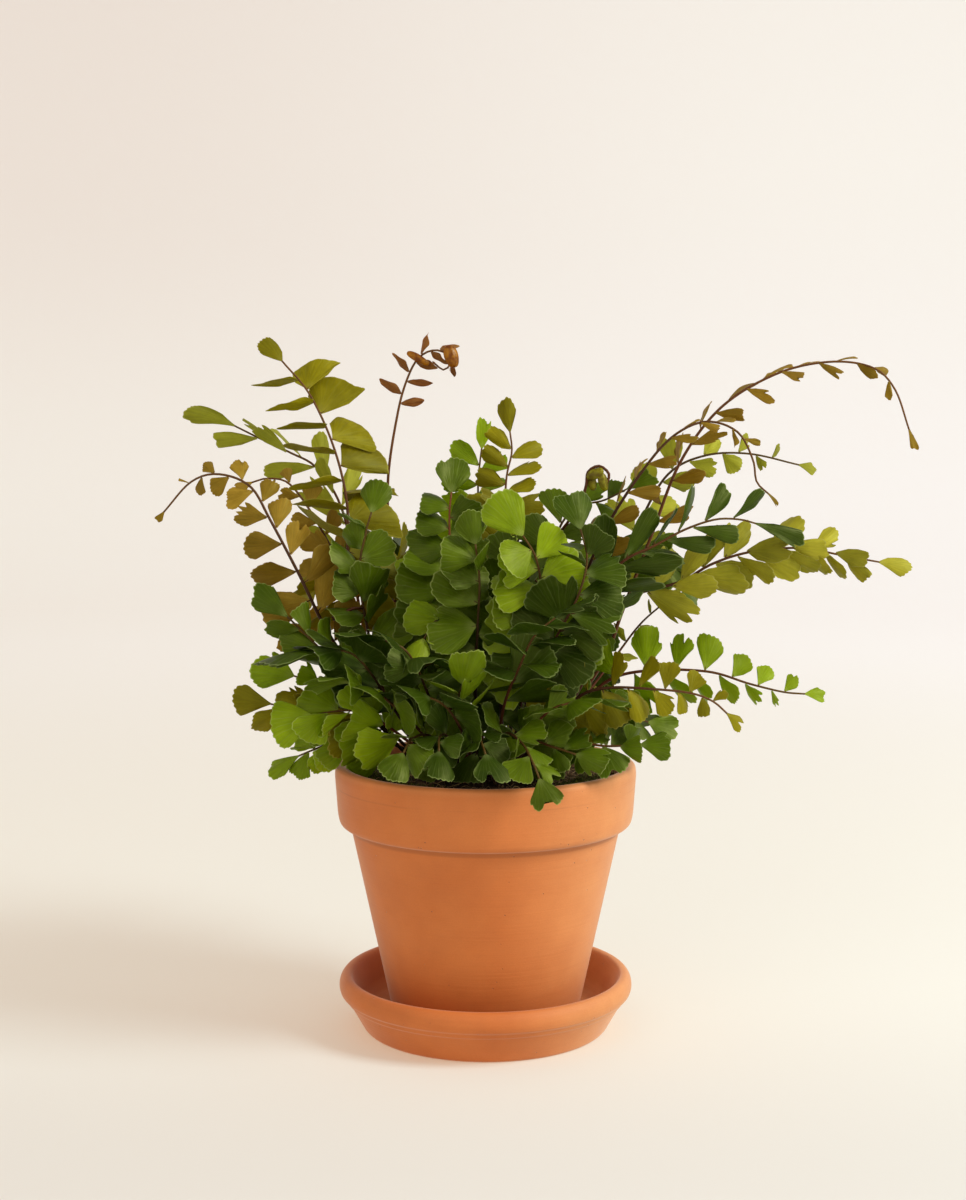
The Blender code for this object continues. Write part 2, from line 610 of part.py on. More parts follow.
def saucer_profile():
    """Thick rounded rim, a bead under it, and a foot that narrows to the floor."""
    foot = [(0, 0), (62.5 * MM, 0), (63.8 * MM, 1.4 * MM), (70.7 * MM, 14 * MM),
            (72 * MM, 14.8 * MM), (73.3 * MM, 17.4 * MM), (74.6 * MM, 18.4 * MM)]
    rim = [(75.8 * MM, 20.6 * MM), (75.6 * MM, 24 * MM), (74.2 * MM, 26.8 * MM),
           (72 * MM, 28 * MM), (70 * MM, 27.5 * MM), (68.9 * MM, 26 * MM)]
    well = [(64.4 * MM, 12.4 * MM), (61.5 * MM, 8.9 * MM), (59 * MM, SAUCER_FLOOR),
            (0, SAUCER_FLOOR)]
    return foot + rim + well


def soil_profile():
    """Soil that fills the pot, a little lower where it meets the wall."""
    floor = POT_FOOT + WALL + GAP
    low = inner_radius(floor) - 0.5 * MM
    high = inner_radius(SOIL_EDGE) - 0.5 * MM
    return [(0, floor), (low, floor), (high, SOIL_EDGE), (58 * MM, SOIL_EDGE + 1.4 * MM),
            (44 * MM, SOIL_TOP), (0, SOIL_TOP)]


def crown_profile():
    """The short stock that the fronds grow from: a low mound on the soil."""
    floor = SOIL_TOP + GAP
    rings = [(0, floor), (CROWN_RADIUS, floor)]
    for share in (0.93, 0.8, 0.6, 0.35):
        rings.append((share * CROWN_RADIUS, seat_height(share * CROWN_RADIUS)))
    return rings + [(0, seat_height(0))]


def build_frond(laid, parent):
    """A frond's one solid: the stalk's rings, with each leaflet grown out of a side."""
    spec, stalk, pairs, tip = laid
    half = LEAF_FOOT / 2
    rings = [stalk.ring(0, 0)]
    leaves = {}
    reached = 0.0
    for left, right, left_leaf, right_leaf in pairs:
        before = min(left, right) - half
        bend = math.degrees(stalk.path.along(reached).angle(stalk.path.along(before)))
        steps = max(round((before - reached) / RING_EVERY), math.ceil(bend / RING_BEND))
        lengths = [reached + (before - reached) * k / steps for k in range(1, steps)]
        rings += [stalk.ring(where, where) for where in lengths]
        reached = max(left, right) + half
        for side, leaf in ((3, left_leaf), (1, right_leaf)):
            if leaf:
                leaves[len(rings), side] = leaf.sections()
        rings += [stalk.ring(left - half, right - half), stalk.ring(left + half, right + half)]
    rings.append(stalk.ring(stalk.length, stalk.length))
    bm = bmesh.new()
    rows = [[bm.verts.new(corner) for corner in ring] for ring in rings]
    bm.faces.new(rows[0])
    for k, (low, high) in enumerate(zip(rows, rows[1:])):
        for side in range(4):
            after = (side + 1) % 4
            edge = [low[side], low[after], high[after], high[side]]
            grow(bm, edge, leaves.get((k, side), []))
    # The end leaflet's sections take the stalk's order of corners.
    grow(bm, rows[-1], [[d, a, b, c] for a, b, c, d in tip.sections()] if tip else [])
    object_from(bm, spec.name, parent, TONES[spec.tone], 0.45)


def grow(bm, edge, sections):
    """Close a side of the solid, or let a blade grow out of it through its sections."""
    for section in sections:
        row = [bm.verts.new(corner) for corner in section]
        for i in range(4):
            after = (i + 1) % 4
            bm.faces.new((edge[i], edge[after], row[after], row[i]))
        edge = row
    bm.faces.new(edge)


def clear_scene():
    for obj in list(bpy.data.objects):
        bpy.data.objects.remove(obj)


def main():
    clear_scene()
    plant = bpy.data.objects.new("potted_fern", None)
    bpy.context.scene.collection.objects.link(plant)
    clay = (0.57, 0.19, 0.063)
    turned("saucer", saucer_profile(), CLAY_SIDES, plant, clay, 0.8)
    turned("pot", pot_profile(), CLAY_SIDES, plant, clay, 0.8)
    turned("potting_soil", soil_profile(), CLAY_SIDES, plant, (0.03, 0.018, 0.012), 0.95)
    turned("crown", crown_profile(), 24, plant, (0.06, 0.03, 0.02), 0.9)
    obstacles = [outline_rings(pot_profile(), CLAY_SIDES),
                 outline_rings([(0.1 * MM, SOIL_TOP), *soil_profile()[4:1:-1]], CLAY_SIDES)]
    specs = OUTLINE_FRONDS + ruled_fronds()
    leaves = 0
    for laid in lay_out(specs, obstacles):
        build_frond(laid, plant)
        leaves += sum(bool(leaf) for pair in laid[2] for leaf in pair[2:])
    wanted = sum(spec.count // 2 * 2 for spec in specs)
    print(f"{len(specs)} fronds, {leaves} of {wanted} leaflets in place")


main()
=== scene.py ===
# %% [markdown]
# # A mahogany fern in a clay pot
#
# This lesson dresses a measured model of a potted fern for a photograph. The measured model
# says where each thing is: a saucer, a pot, soil, a crown and fronds, each frond one plain
# solid. Here the pot and saucer get their turned detail, the soil its fibres, and each frond
# its thin leaflets with a scalloped edge and veins.
#
# We start from the measured model and keep its size.

# %% Load the measured model
import math
from collections import namedtuple
from random import Random

import bmesh
import bpy
import numpy as np
from mathutils import Matrix, Vector
from mathutils.bvhtree import BVHTree


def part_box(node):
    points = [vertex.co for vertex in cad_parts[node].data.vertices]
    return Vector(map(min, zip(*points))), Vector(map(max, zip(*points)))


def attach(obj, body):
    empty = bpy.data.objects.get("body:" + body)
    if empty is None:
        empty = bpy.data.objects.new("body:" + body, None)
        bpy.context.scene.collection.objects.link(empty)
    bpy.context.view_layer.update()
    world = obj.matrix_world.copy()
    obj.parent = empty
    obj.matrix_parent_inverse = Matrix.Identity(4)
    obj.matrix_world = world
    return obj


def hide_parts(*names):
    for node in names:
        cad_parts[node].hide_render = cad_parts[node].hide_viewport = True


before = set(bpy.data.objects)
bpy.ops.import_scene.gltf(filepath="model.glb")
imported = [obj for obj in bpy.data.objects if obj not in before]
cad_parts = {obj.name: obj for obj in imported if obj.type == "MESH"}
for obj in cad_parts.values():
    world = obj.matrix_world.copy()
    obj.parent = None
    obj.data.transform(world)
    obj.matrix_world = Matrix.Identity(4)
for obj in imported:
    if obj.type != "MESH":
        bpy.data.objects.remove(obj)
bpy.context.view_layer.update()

MM = 0.001

# %% [markdown]
# ## Camera
#
# The photographer stood about a metre away and looked a little down, with a lens of normal
# length. Those numbers came from the ellipses of the pot's rim and of the saucer: an ellipse's
# height tells the angle that it is seen from, and two of them tell how far away the lens was.

# %% Camera
PICTURE_HEIGHT = 1200
LENS_PIXELS = 1850
SENSOR = 36
camera = bpy.data.objects.new("camera", bpy.data.cameras.new("camera"))
camera.data.sensor_fit = "VERTICAL"
camera.data.sensor_height = SENSOR
camera.data.lens = LENS_PIXELS / PICTURE_HEIGHT * SENSOR
camera.location = (-0.0013, -0.942, 0.308)
camera.rotation_euler = (math.radians(90 - 5.26), 0, 0)
camera.data.clip_start = 0.01
bpy.context.scene.collection.objects.link(camera)
bpy.context.scene.camera = camera
print(f"lens of {camera.data.lens:.1f} mm, {camera.location.length:.2f} m away")

# %% [markdown]
# ## A way to write finishes
#
# A finish is a small network of nodes. Written out node by node it is hard to read, so one
# class wraps a socket and lets Python's own signs add the Math nodes, and another makes any
# other node from its type, its settings and its inputs. A stripe that follows a height then
# reads as a sum, which is how one would say it.

# %% Numbers in a finish
class Value:
    """A number in a finish: the output of a node, which takes part in sums."""

    def __init__(self, finish, socket):
        self.finish = finish
        self.socket = socket

    def maths(self, operation, *numbers):
        return self.finish.node("Math", {"operation": operation}, dict(enumerate(numbers)))

    def __add__(self, other):
        return self.maths("ADD", self, other)

    def __sub__(self, other):
        return self.maths("SUBTRACT", self, other)

    def __rsub__(self, other):
        return self.maths("SUBTRACT", other, self)

    def __mul__(self, other):
        return self.maths("MULTIPLY", self, other)

    def __pow__(self, other):
        return self.maths("POWER", self, other)

    __radd__ = __add__

    def whole(self):
        """The number without what follows its point."""
        return self.maths("FLOOR", self)

    def part(self):
        """Only what follows the point."""
        return self.maths("FRACT", self)

    def size(self):
        """The number without its sign."""
        return self.maths("ABSOLUTE", self)

    def over(self, low, high):
        """0 below low, 1 above high, and a soft step between them."""
        return self.finish.node("MapRange", {"interpolation_type": "SMOOTHSTEP"},
                                {"Value": self, "From Min": low, "From Max": high})

    def shifted(self, amount):
        """1 with some of this number's distance from a half added, for tinting."""
        return (self - 0.5) * amount + 1.0


print("signs that a number understands:", "+ - * **")

# %% [markdown]
# A finish owns a material. It knows the few patterns that everything here is made of: noise
# for clouds and grain, a random number for each leaflet or crumb, and bumps. A leaf is thin,
# so it can also let light through.

# %% Finishes
class Finish:
    """A material and the nodes that make it."""

    def __init__(self, name, **fixed):
        self.material = bpy.data.materials.new(name)
        self.material.use_nodes = True
        self.tree = self.material.node_tree
        self.shader = self.tree.nodes["Principled BSDF"]
        for socket, value in fixed.items():
            self.shader.inputs[socket.replace("_", " ")].default_value = value

    def join(self, socket, value):
        """Set a socket, or link it where the value is a node's output."""
        if isinstance(value, Value):
            self.tree.links.new(value.socket, socket)
        elif socket.type == "RGBA" and len(value) == 3:
            socket.default_value = (*value, 1)
        else:
            socket.default_value = value

    def node(self, kind, settings, inputs, output=0):
        """Any node: its type, its settings first, then its inputs by name or number."""
        made = self.tree.nodes.new("ShaderNode" + kind)
        for name, value in settings.items():
            setattr(made, name, value)
        for name, value in inputs.items():
            self.join(made.inputs[name], value)
        return Value(self, made.outputs[output])

    def mix(self, factor, one, other):
        """A colour between two others."""
        settings = {"data_type": "RGBA", "clamp_factor": True}
        return self.node("Mix", settings, {0: factor, 6: one, 7: other}, 2)

    def scaled(self, colour, amount):
        """A colour made brighter or darker by a number."""
        return self.node("VectorMath", {"operation": "SCALE"}, {0: colour, "Scale": amount})

    def ramp(self, colours, number):
        """A colour from a row of colours, for a number from 0 to 1."""
        made = self.node("ValToRGB", {}, {0: number})
        stops = made.socket.node.color_ramp.elements
        while len(stops) < len(colours):
            stops.new(0.5)
        for k, (stop, colour) in enumerate(zip(stops, colours)):
            stop.position = k / (len(colours) - 1)
            stop.color = (*colour, 1)
        return made

    def noise(self, place, scale, detail=3.0, roughness=0.55, stretch=None):
        """Cloudy numbers round a half, at a scale in patches per metre."""
        if stretch:
            place = self.node("VectorMath", {"operation": "MULTIPLY"}, {0: place, 1: stretch})
        return self.node("TexNoise", {}, {"Vector": place, "Scale": scale, "Detail": detail,
                                          "Roughness": roughness})

    def chance(self, number):
        """A random number from 0 to 1 that is the same for the same number."""
        return self.node("TexWhiteNoise", {"noise_dimensions": "1D"}, {"W": number})

    def place(self):
        return self.node("TexCoord", {}, {}, 3)

    def axis(self, which, place):
        """One number of a place: 0 to the right, 1 to the back, 2 up."""
        return self.node("SeparateXYZ", {}, {0: place}, which)

    def map_of(self, name):
        """The two numbers that a mesh keeps for each corner under a name."""
        corner = self.node("UVMap", {"uv_map": name}, {})
        return self.axis(0, corner), self.axis(1, corner)

    def bump(self, height, distance, strength):
        inputs = {"Height": height, "Distance": distance, "Strength": strength}
        return self.node("Bump", {}, inputs)

    def wear(self, **sockets):
        """Feed the shader's sockets."""
        for name, value in sockets.items():
            self.join(self.shader.inputs[name.replace("_", " ")], value)

    def let_light_through(self, share, **glow):
        """Mix in a translucent share, for light that comes through from behind."""
        surface = Value(self, self.shader.outputs[0])
        behind = self.node("BsdfTranslucent", {}, glow)
        both = self.node("MixShader", {}, {0: share, 1: surface, 2: behind})
        self.join(self.tree.nodes["Material Output"].inputs["Surface"], both)


print("a finish knows", ", ".join(name for name in vars(Finish) if name[0] != "_"))

# %% [markdown]
# Every piece is handed over in the same way: it gets its finish, rides on the body, and the
# measured nodes that it stands for are hidden.

# %% Hand over a piece
def put(piece, finish, slot, *nodes):
    """A finished piece: it rides on the body, and stands for its measured nodes."""
    piece.data.materials.clear()
    piece.data.materials.append(finish.material)
    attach(piece, "root")
    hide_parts(*nodes)


# %% [markdown]
# ## A way to write shapes
#
# Nearly everything here is a row of rings: a pot, a stalk, a thread of moss. So a few helpers
# give the corners of a ring, the faces between rings, the caps that close the ends, and a
# piece from corners and faces.

# %% Helpers for shapes
def circle(sides):
    """Cosine and sine for each corner of a ring."""
    angles = [math.tau * k / sides for k in range(sides)]
    return [(math.cos(angle), math.sin(angle)) for angle in angles]


def bands(first, count, sides):
    """Faces of some bands between rings, from the first ring's first corner."""
    pairs = [(row + k, row + (k + 1) % sides)
             for row in range(first, first + count * sides, sides) for k in range(sides)]
    return [(a, b, b + sides, a + sides) for a, b in pairs]


def closed_tube(rings, sides):
    """Faces of some rings with a cap at each end."""
    last = (rings - 1) * sides
    caps = [tuple(range(sides - 1, -1, -1)), tuple(range(last, last + sides))]
    return bands(0, rings - 1, sides) + caps


def new_piece(name, corners, faces, smooth=True):
    mesh = bpy.data.meshes.new(name)
    mesh.from_pydata([tuple(corner) for corner in corners], [], faces)
    if smooth:
        mesh.shade_smooth()
    piece = bpy.data.objects.new(name, mesh)
    bpy.context.scene.collection.objects.link(piece)
    return piece


def keep_numbers(piece, name, numbers):
    """Keep two numbers for each corner of a piece under a name."""
    mesh = piece.data
    order = np.empty(len(mesh.loops), np.int32)
    mesh.loops.foreach_get("vertex_index", order)
    layer = mesh.uv_layers.new(name=name)
    layer.uv.foreach_set("vector", np.asarray(numbers, np.float32)[order].ravel())


def turned(name, profile, sides, closed=True):
    """A shape turned about the upright axis from a profile of (radius, height)."""
    corners, faces, rings = [], [], []
    for radius, height in profile:
        first = len(corners)
        if radius < 1e-7:
            corners.append((0, 0, height))
            rings.append([first] * sides)
            continue
        corners += [(radius * x, radius * y, height) for x, y in circle(sides)]
        rings.append(list(range(first, first + sides)))
    pairs = list(zip(rings, rings[1:]))
    if closed and profile[0][0] > 0:
        pairs.append((rings[-1], rings[0]))
    for low, high in pairs:
        for k in range(sides):
            after = (k + 1) % sides
            face = [low[k], low[after], high[after], high[k]]
            face = [corner for i, corner in enumerate(face) if corner != face[i - 1]]
            if len(face) > 2:
                faces.append(face)
    return new_piece(name, corners, faces)


def triangles(*pieces):
    return sum(len(face.vertices) - 2 for piece in pieces for face in piece.data.polygons)


print("a ring of four has", bands(0, 1, 4), "as its band")

# %% [markdown]
# ## Studio
#
# The plant stands on a pale seamless sweep. A round one, with a wall that curves up from the
# floor on every side, looks the same from all angles. The main light is a wide soft one from
# the right, a little in front and a little above: it makes the right side of the pot lighter
# and lays a soft shadow to the left. A pale sky fills in the rest.

# %% Sweep
FLOOR_RADIUS = 2.4
CURVE_RADIUS = 0.9
WALL_TOP = 3.0
CURVE_STEPS = 16

sweep_profile = [(0.0, 0.0), (0.6, 0.0), (FLOOR_RADIUS, 0.0)]
for step in range(1, CURVE_STEPS + 1):
    angle = step / CURVE_STEPS * math.pi / 2
    sweep_profile.append((FLOOR_RADIUS + CURVE_RADIUS * math.sin(angle),
                          CURVE_RADIUS * (1 - math.cos(angle))))
sweep_profile.append((FLOOR_RADIUS + CURVE_RADIUS, WALL_TOP))

paper = Finish("pale_paper", Roughness=0.95, Specular_IOR_Level=0.1, Emission_Strength=1.0)
sideways, backwards, upwards = (paper.axis(which, paper.place()) for which in range(3))
from_the_plant = (sideways ** 2 + backwards ** 2) ** 0.5
# Painted light: the paper glows darker to the left and brighter to the right, and dimmer higher up
# the wall. On the floor near the pot it glows warmer, and dimmer in front than behind. Its own
# colour is bluish, so that with the warm glow its shade comes out warm.
low_glow = paper.mix(sideways.over(-1.1, 1.1), (0.505, 0.366, 0.285), (0.575, 0.445, 0.40))
high_glow = paper.mix(sideways.over(-1.1, 1.1), (0.425, 0.25, 0.176), (0.535, 0.40, 0.33))
wall_glow = paper.mix(upwards.over(0.1, 0.9), low_glow, high_glow)
floor_glow = paper.mix(backwards.over(-0.22, 0.08), (0.33, 0.16, 0.07), (0.435, 0.275, 0.165))
paper.wear(Base_Color=(0.45, 0.58, 0.62),
           Emission_Color=paper.mix(from_the_plant.over(0.3, 1.9), floor_glow, wall_glow))
paper.material.cycles.emission_sampling = "NONE"
sweep = turned("sweep", sweep_profile, 96, closed=False)
sweep.data.materials.append(paper.material)
print("sweep of", round(FLOOR_RADIUS + CURVE_RADIUS, 1), "m radius")

# %% [markdown]
# Two square lamps and an even sky light the plant. The paper glows by itself too. This is painted
# light, standing in for the light that goes back and forth between the walls of a real studio many
# times. The glow is warmer on the floor near the pot. On the wall it is darker to the left and
# brighter to the right.

# %% Lights and sky
PLANT_MIDDLE = Vector((0, 0, 0.16))


def soft_light(name, azimuth, elevation, distance, size, power, colour):
    """A square soft light that looks at the plant; azimuth 0 is the camera's side."""
    turn, rise = math.radians(azimuth), math.radians(elevation)
    away = Vector((math.sin(turn) * math.cos(rise), -math.cos(turn) * math.cos(rise),
                   math.sin(rise)))
    lamp = bpy.data.lights.new(name, "AREA")
    lamp.shape = "SQUARE"
    lamp.size = size
    lamp.energy = power
    lamp.color = colour
    light = bpy.data.objects.new(name, lamp)
    light.location = PLANT_MIDDLE + away * distance
    light.rotation_euler = away.to_track_quat("Z", "Y").to_euler()
    light.visible_camera = False
    bpy.context.scene.collection.objects.link(light)


soft_light("main_light", 68, 36, 2.2, 0.8, 40, (1.0, 0.96, 0.9))
soft_light("front_fill", -25, 30, 1.9, 1.4, 5, (1.0, 0.98, 0.95))
world = bpy.data.worlds.new("pale_sky")
bpy.context.scene.world = world
world.use_nodes = True
sky = world.node_tree.nodes["Background"]
sky.inputs["Color"].default_value = (1.0, 0.975, 0.94, 1)
sky.inputs["Strength"].default_value = 0.45
bpy.context.scene.view_settings.view_transform = "Standard"
print(len(bpy.data.lights), "lights and a sky")

# %% [markdown]
# ## Clay pot and saucer
#
# Pot and saucer are thrown or pressed from red clay and fired without a glaze. Both are turned
# shapes, so a profile spun round the axis is the natural way to make them. The corners of real
# clay are soft, so a helper rounds each corner of a plain profile by its own radius. The
# profile's numbers are those of the measured model.

# %% Turned clay shapes
GAP = 0.3 * MM
SAUCER_FLOOR = 8.2 * MM
POT_FOOT = SAUCER_FLOOR + GAP
POT_TOP = 137.7 * MM
POT_RADIUS = 77.5 * MM
WALL = 7 * MM
FOOT_RADIUS = 47 * MM
FINE_SIDES = 160


def rounded(profile, steps=6):
    """A profile of (radius, height, rounding) in millimetres with each corner made soft."""
    points = [Vector(corner[:2]) * MM for corner in profile]
    soft = []
    for k, (point, corner) in enumerate(zip(points, profile)):
        if corner[2] == 0:
            soft.append(tuple(point))
            continue
        before, after = points[k - 1] - point, points[(k + 1) % len(points)] - point
        reach = min(corner[2] * MM, 0.49 * before.length, 0.49 * after.length)
        start, end = point + before.normalized() * reach, point + after.normalized() * reach
        for step in range(steps + 1):
            t = step / steps
            soft.append(tuple(start.lerp(point, t).lerp(point.lerp(end, t), t)))
    return soft


def denser(profile, longest=2.5 * MM):
    """The same profile with points along its long straight runs."""
    points = [profile[0]]
    for start, end in zip(profile, profile[1:]):
        start, end = Vector(start), Vector(end)
        count = max(1, round((end - start).length / longest))
        points += [tuple(start.lerp(end, step / count)) for step in range(1, count + 1)]
    return points


pot_corners = [(10, 8.5, 0.5), (47.6, 8.5, 1.2), (48.7, 9.6, 1.2), (69, 103.4, 1.5),
               (70.2, 105.6, 2.5), (74.8, 106.9, 3), (76, 112, 4), (77.5, 133, 3.5),
               (76.9, 136.9, 2.5), (74.2, 137.9, 2), (71.4, 137.1, 1.8), (70.4, 134.5, 2),
               (43.4, 15.5, 3), (10, 15.5, 0.5)]
saucer_corners = [(0, 0, 0), (62.2, 0, 1.4), (63.6, 1.2, 0.8), (70.6, 13.6, 0.6),
                  (71.3, 14.6, 0.5), (72.2, 15.1, 0.5), (73.2, 17.1, 0.7), (73.9, 17.7, 0.4),
                  (75.1, 18.5, 0.8), (76, 21.4, 2.2), (75.4, 25.4, 2.6), (73.2, 28.1, 2.4),
                  (70.2, 28, 1.6), (68.8, 25.9, 1.6), (64.4, 12.4, 2.5), (61, 8.9, 1.5),
                  (58, 8.2, 1.0), (0, 8.2, 0)]
pot = turned("clay_pot", denser(rounded(pot_corners)), FINE_SIDES)
saucer = turned("clay_saucer", denser(rounded(saucer_corners)), FINE_SIDES)
print("pot", triangles(pot), "triangles, saucer", triangles(saucer))

# %% [markdown]
# Fired clay is matt and never quite one colour. Turning leaves fine rings, the body holds specks
# and a few pinholes, and handling leaves faint smudges. The right side, towards the main lamp, is
# painted paler, as painted light, and the lip is paler too. Painted shade darkens the pot's foot,
# where it stands in the saucer, and the clay just under the rim band. All of these are patterns in
# space: rings depend on the height, specks on noise. The same finish serves pot and saucer, with
# the saucer a little redder.

# %% Clay finish
TURNED_LINE_HEIGHT = 127.2 * MM
LEDGE_HEIGHT = 104.6 * MM
RING_STRETCH = (0.15, 0.15, 9.0)
FINE_RING_STRETCH = (0.04, 0.04, 4.0)


def clay_finish(name, light, dark, pale_for_lit_side_and_lip, foot_shade_strength):
    clay = Finish(name, Specular_IOR_Level=0.4, Sheen_Weight=0.42, Sheen_Roughness=0.35,
                  Sheen_Tint=(1.0, 0.86, 0.72, 1.0))
    place = clay.place()
    height = clay.axis(2, place)
    clouds = clay.noise(place, 22.0, 3.0, 0.6)
    bloom = clay.noise(place, 70.0, 3.0, 0.6)
    grain = clay.noise(place, 1400.0, 2.0, 0.7)
    rings = clay.noise(place, 100.0, 2.0, 0.5, RING_STRETCH)
    fine_rings = clay.noise(place, 600.0, 2.0, 0.5, FINE_RING_STRETCH)
    specks = 1 - clay.node("TexVoronoi", {}, {"Vector": place, "Scale": 260.0}).over(0.03, 0.12)
    pits = specks * clay.noise(place, 90.0, 1.0).over(0.57, 0.63)
    line_height = height + (bloom - 0.5) * 0.6 * MM - TURNED_LINE_HEIGHT
    turned_line = 1 - line_height.size().over(0.15 * MM, 0.6 * MM)
    hairline = turned_line * clouds.over(0.35, 0.6)
    # Painted light: the right side, towards the main lamp, is painted paler, and the lip is paler
    # too.
    painted_lit_side = clay.axis(0, place).over(0.0, 75 * MM)
    lip = height.over(133 * MM, 137 * MM)
    # Painted shade: darker just under the rim band, and at the pot's foot where it stands in the
    # saucer.
    painted_shade_under_band = 1 - (height - LEDGE_HEIGHT).size().over(0.7 * MM, 2.2 * MM)
    painted_shade_at_foot = (1 - height.over(9 * MM, 34 * MM)) * height.over(7.5 * MM, 8.6 * MM) * foot_shade_strength
    smudges = clay.noise(place, 34.0, 2.0, 0.5, (1.0, 1.0, 1.6)).over(0.6, 0.72)
    colour = clay.mix(clouds.over(0.3, 0.7) * 0.7, light, dark)
    colour = clay.mix(painted_lit_side * (bloom.shifted(0.8) * 0.62) + lip * 0.2, colour, pale_for_lit_side_and_lip)
    # The painted shade under the band and at the foot is a dark brown.
    colour = clay.mix(painted_shade_under_band * 0.6 + painted_shade_at_foot * bloom.shifted(0.6), colour, (0.34, 0.095, 0.02))
    colour = clay.mix((rings - 0.5).size() * 0.5, colour, dark)
    colour = clay.scaled(colour, grain.shifted(0.16) + (bloom - 0.5) * 0.1)
    colour = clay.mix(smudges * 0.22, colour, dark)
    colour = clay.mix(hairline * 0.2, colour, (0.20, 0.055, 0.02))
    colour = clay.mix(pits * 0.85, colour, (0.13, 0.04, 0.015))
    relief = rings * 0.5 + fine_rings * 0.25 + grain * 0.12 - pits * 1.8
    clay.wear(Base_Color=colour, Roughness=0.66 + (bloom - 0.5) * 0.18,
              Normal=clay.bump(relief, 0.35 * MM, 0.55))
    return clay


pot_clay = clay_finish("fired_clay", (0.58, 0.172, 0.036), (0.49, 0.128, 0.022),
                       (0.64, 0.30, 0.11), 0.4)
saucer_clay = clay_finish("fired_clay_saucer", (0.57, 0.16, 0.032), (0.46, 0.115, 0.018),
                          (0.68, 0.34, 0.13), 0.0)
put(pot, pot_clay, "clay", "pot")
put(saucer, saucer_clay, "clay", "saucer")
print("pot and saucer wear their clay")

# %% [markdown]
# ## Soil
#
# The pot holds dark peat with coarse fibres and bits of bark, a little sunken where it meets
# the wall. A sheet of ground with small bumps gives the lumps. They come from a few waves of
# different lengths, added up.

# %% Ground of the soil
SOIL_TOP = 130.5 * MM
SOIL_EDGE = 128.5 * MM
SOIL_FALL_FROM = 44 * MM
CROWN_RADIUS = 37 * MM
CROWN_HEIGHT = 8 * MM
GOLDEN_TURN = math.radians(137.5)
SOIL_RINGS = 64
SOIL_SPOKES = 150


def inner_radius(height):
    """The pot's inner radius at a height."""
    floor, brim = POT_FOOT + WALL, POT_TOP - 2 * MM
    low, high = FOOT_RADIUS - 3.6 * MM, POT_RADIUS - WALL
    return low + (high - low) * (height - floor) / (brim - floor)


def seat_height(radius):
    """Height of the crown's surface at a distance from its axis."""
    share = min(radius / CROWN_RADIUS, 1.0)
    return SOIL_TOP + GAP + CROWN_HEIGHT * (1 - share ** 2.5)


def soil_height(x, y):
    """The soil's surface: low at the wall, with lumps from a few waves of different lengths."""
    fall = (math.hypot(x, y) - SOIL_FALL_FROM) / (inner_radius(SOIL_EDGE) - SOIL_FALL_FROM)
    waves = sum(size * math.sin(x * across + y * along + phase)
                for size, across, along, phase in lumps)
    return SOIL_TOP + (SOIL_EDGE - SOIL_TOP) * min(max(fall, 0.0), 1.0) ** 1.5 + waves * MM


def on_soil(radius, turn, lift=0.0):
    """A place on the soil, or a little over it."""
    x, y = radius * math.cos(turn), radius * math.sin(turn)
    return Vector((x, y, soil_height(x, y) + lift))


chance = Random(11)
lumps = []
for size, length in ((0.35, 22), (0.35, 13), (0.25, 8), (0.2, 5), (0.12, 3)):
    for _ in range(3):
        turn = chance.uniform(0, math.tau)
        wave = math.tau / (length * MM)
        lumps.append((size * 0.6, math.cos(turn) * wave, math.sin(turn) * wave,
                      chance.uniform(0, math.tau)))

edge_radius = inner_radius(SOIL_EDGE) - 0.1 * MM
corners = [on_soil(0, 0)]
for ring in range(1, SOIL_RINGS + 1):
    corners += [on_soil(edge_radius * ring / SOIL_RINGS, math.tau * spoke / SOIL_SPOKES)
                for spoke in range(SOIL_SPOKES)]
for depth, inset in ((30 * MM, 6 * MM), (112 * MM, 26 * MM)):
    radius = edge_radius - inset - 0.5 * MM
    corners += [(radius * x, radius * y, SOIL_EDGE - depth) for x, y in circle(SOIL_SPOKES)]
faces = [(0, 1 + spoke, 1 + (spoke + 1) % SOIL_SPOKES) for spoke in range(SOIL_SPOKES)]
faces += [(a, d, c, b) for a, b, c, d in bands(1, SOIL_RINGS + 1, SOIL_SPOKES)]
faces.append(tuple(range(len(corners) - 1, len(corners) - 1 - SOIL_SPOKES, -1)))
soil_ground = new_piece("soil_ground", corners, faces)
print("soil ground has", triangles(soil_ground), "triangles")

# %% [markdown]
# Crumbs of every size lie on the ground, thin curved fibres cross them, and a little moss
# grows near the rim. They are real shapes and not paint, because they cast small shadows that
# make soil look loose. Each shape is made from its own few numbers, and a heap joins many of
# them in one piece.

# %% Small shapes and heaps
def crumb_shape(size, seed):
    """A rough crumb: a ball of twenty faces cut once more, with each corner pushed about."""
    bm = bmesh.new()
    bmesh.ops.create_icosphere(bm, subdivisions=1, radius=1)
    rough = Random(seed)
    stretch = Vector((rough.uniform(0.7, 1.3), rough.uniform(0.6, 1), rough.uniform(0.4, 0.8)))
    corners = []
    for vert in bm.verts:
        push = rough.uniform(0.75, 1.2)
        corners.append(Vector([c * s * push * size for c, s in zip(vert.co, stretch)]))
    faces = [tuple(v.index for v in face.verts) for face in bm.faces]
    bm.free()
    return corners, faces


def heading_at(places, k):
    """The direction of a line of places at one of them."""
    return (places[min(k + 1, len(places) - 1)] - places[max(k - 1, 0)]).normalized()


def ring_round(place, ahead, side, radius, sides):
    up = ahead.cross(side)
    return [place + (side * x + up * y) * radius for x, y in circle(sides)]


def strand_shape(points, thick, sides):
    """A thin tube through some points, pointed at both ends."""
    corners = []
    for k, point in enumerate(points):
        ahead = heading_at(points, k)
        swell = math.sin(math.pi * (k + 0.3) / (len(points) - 0.4)) ** 0.4
        corners += ring_round(point, ahead, ahead.orthogonal().normalized(),
                              thick * max(0.15, swell), sides)
    return corners, closed_tube(len(points), sides)


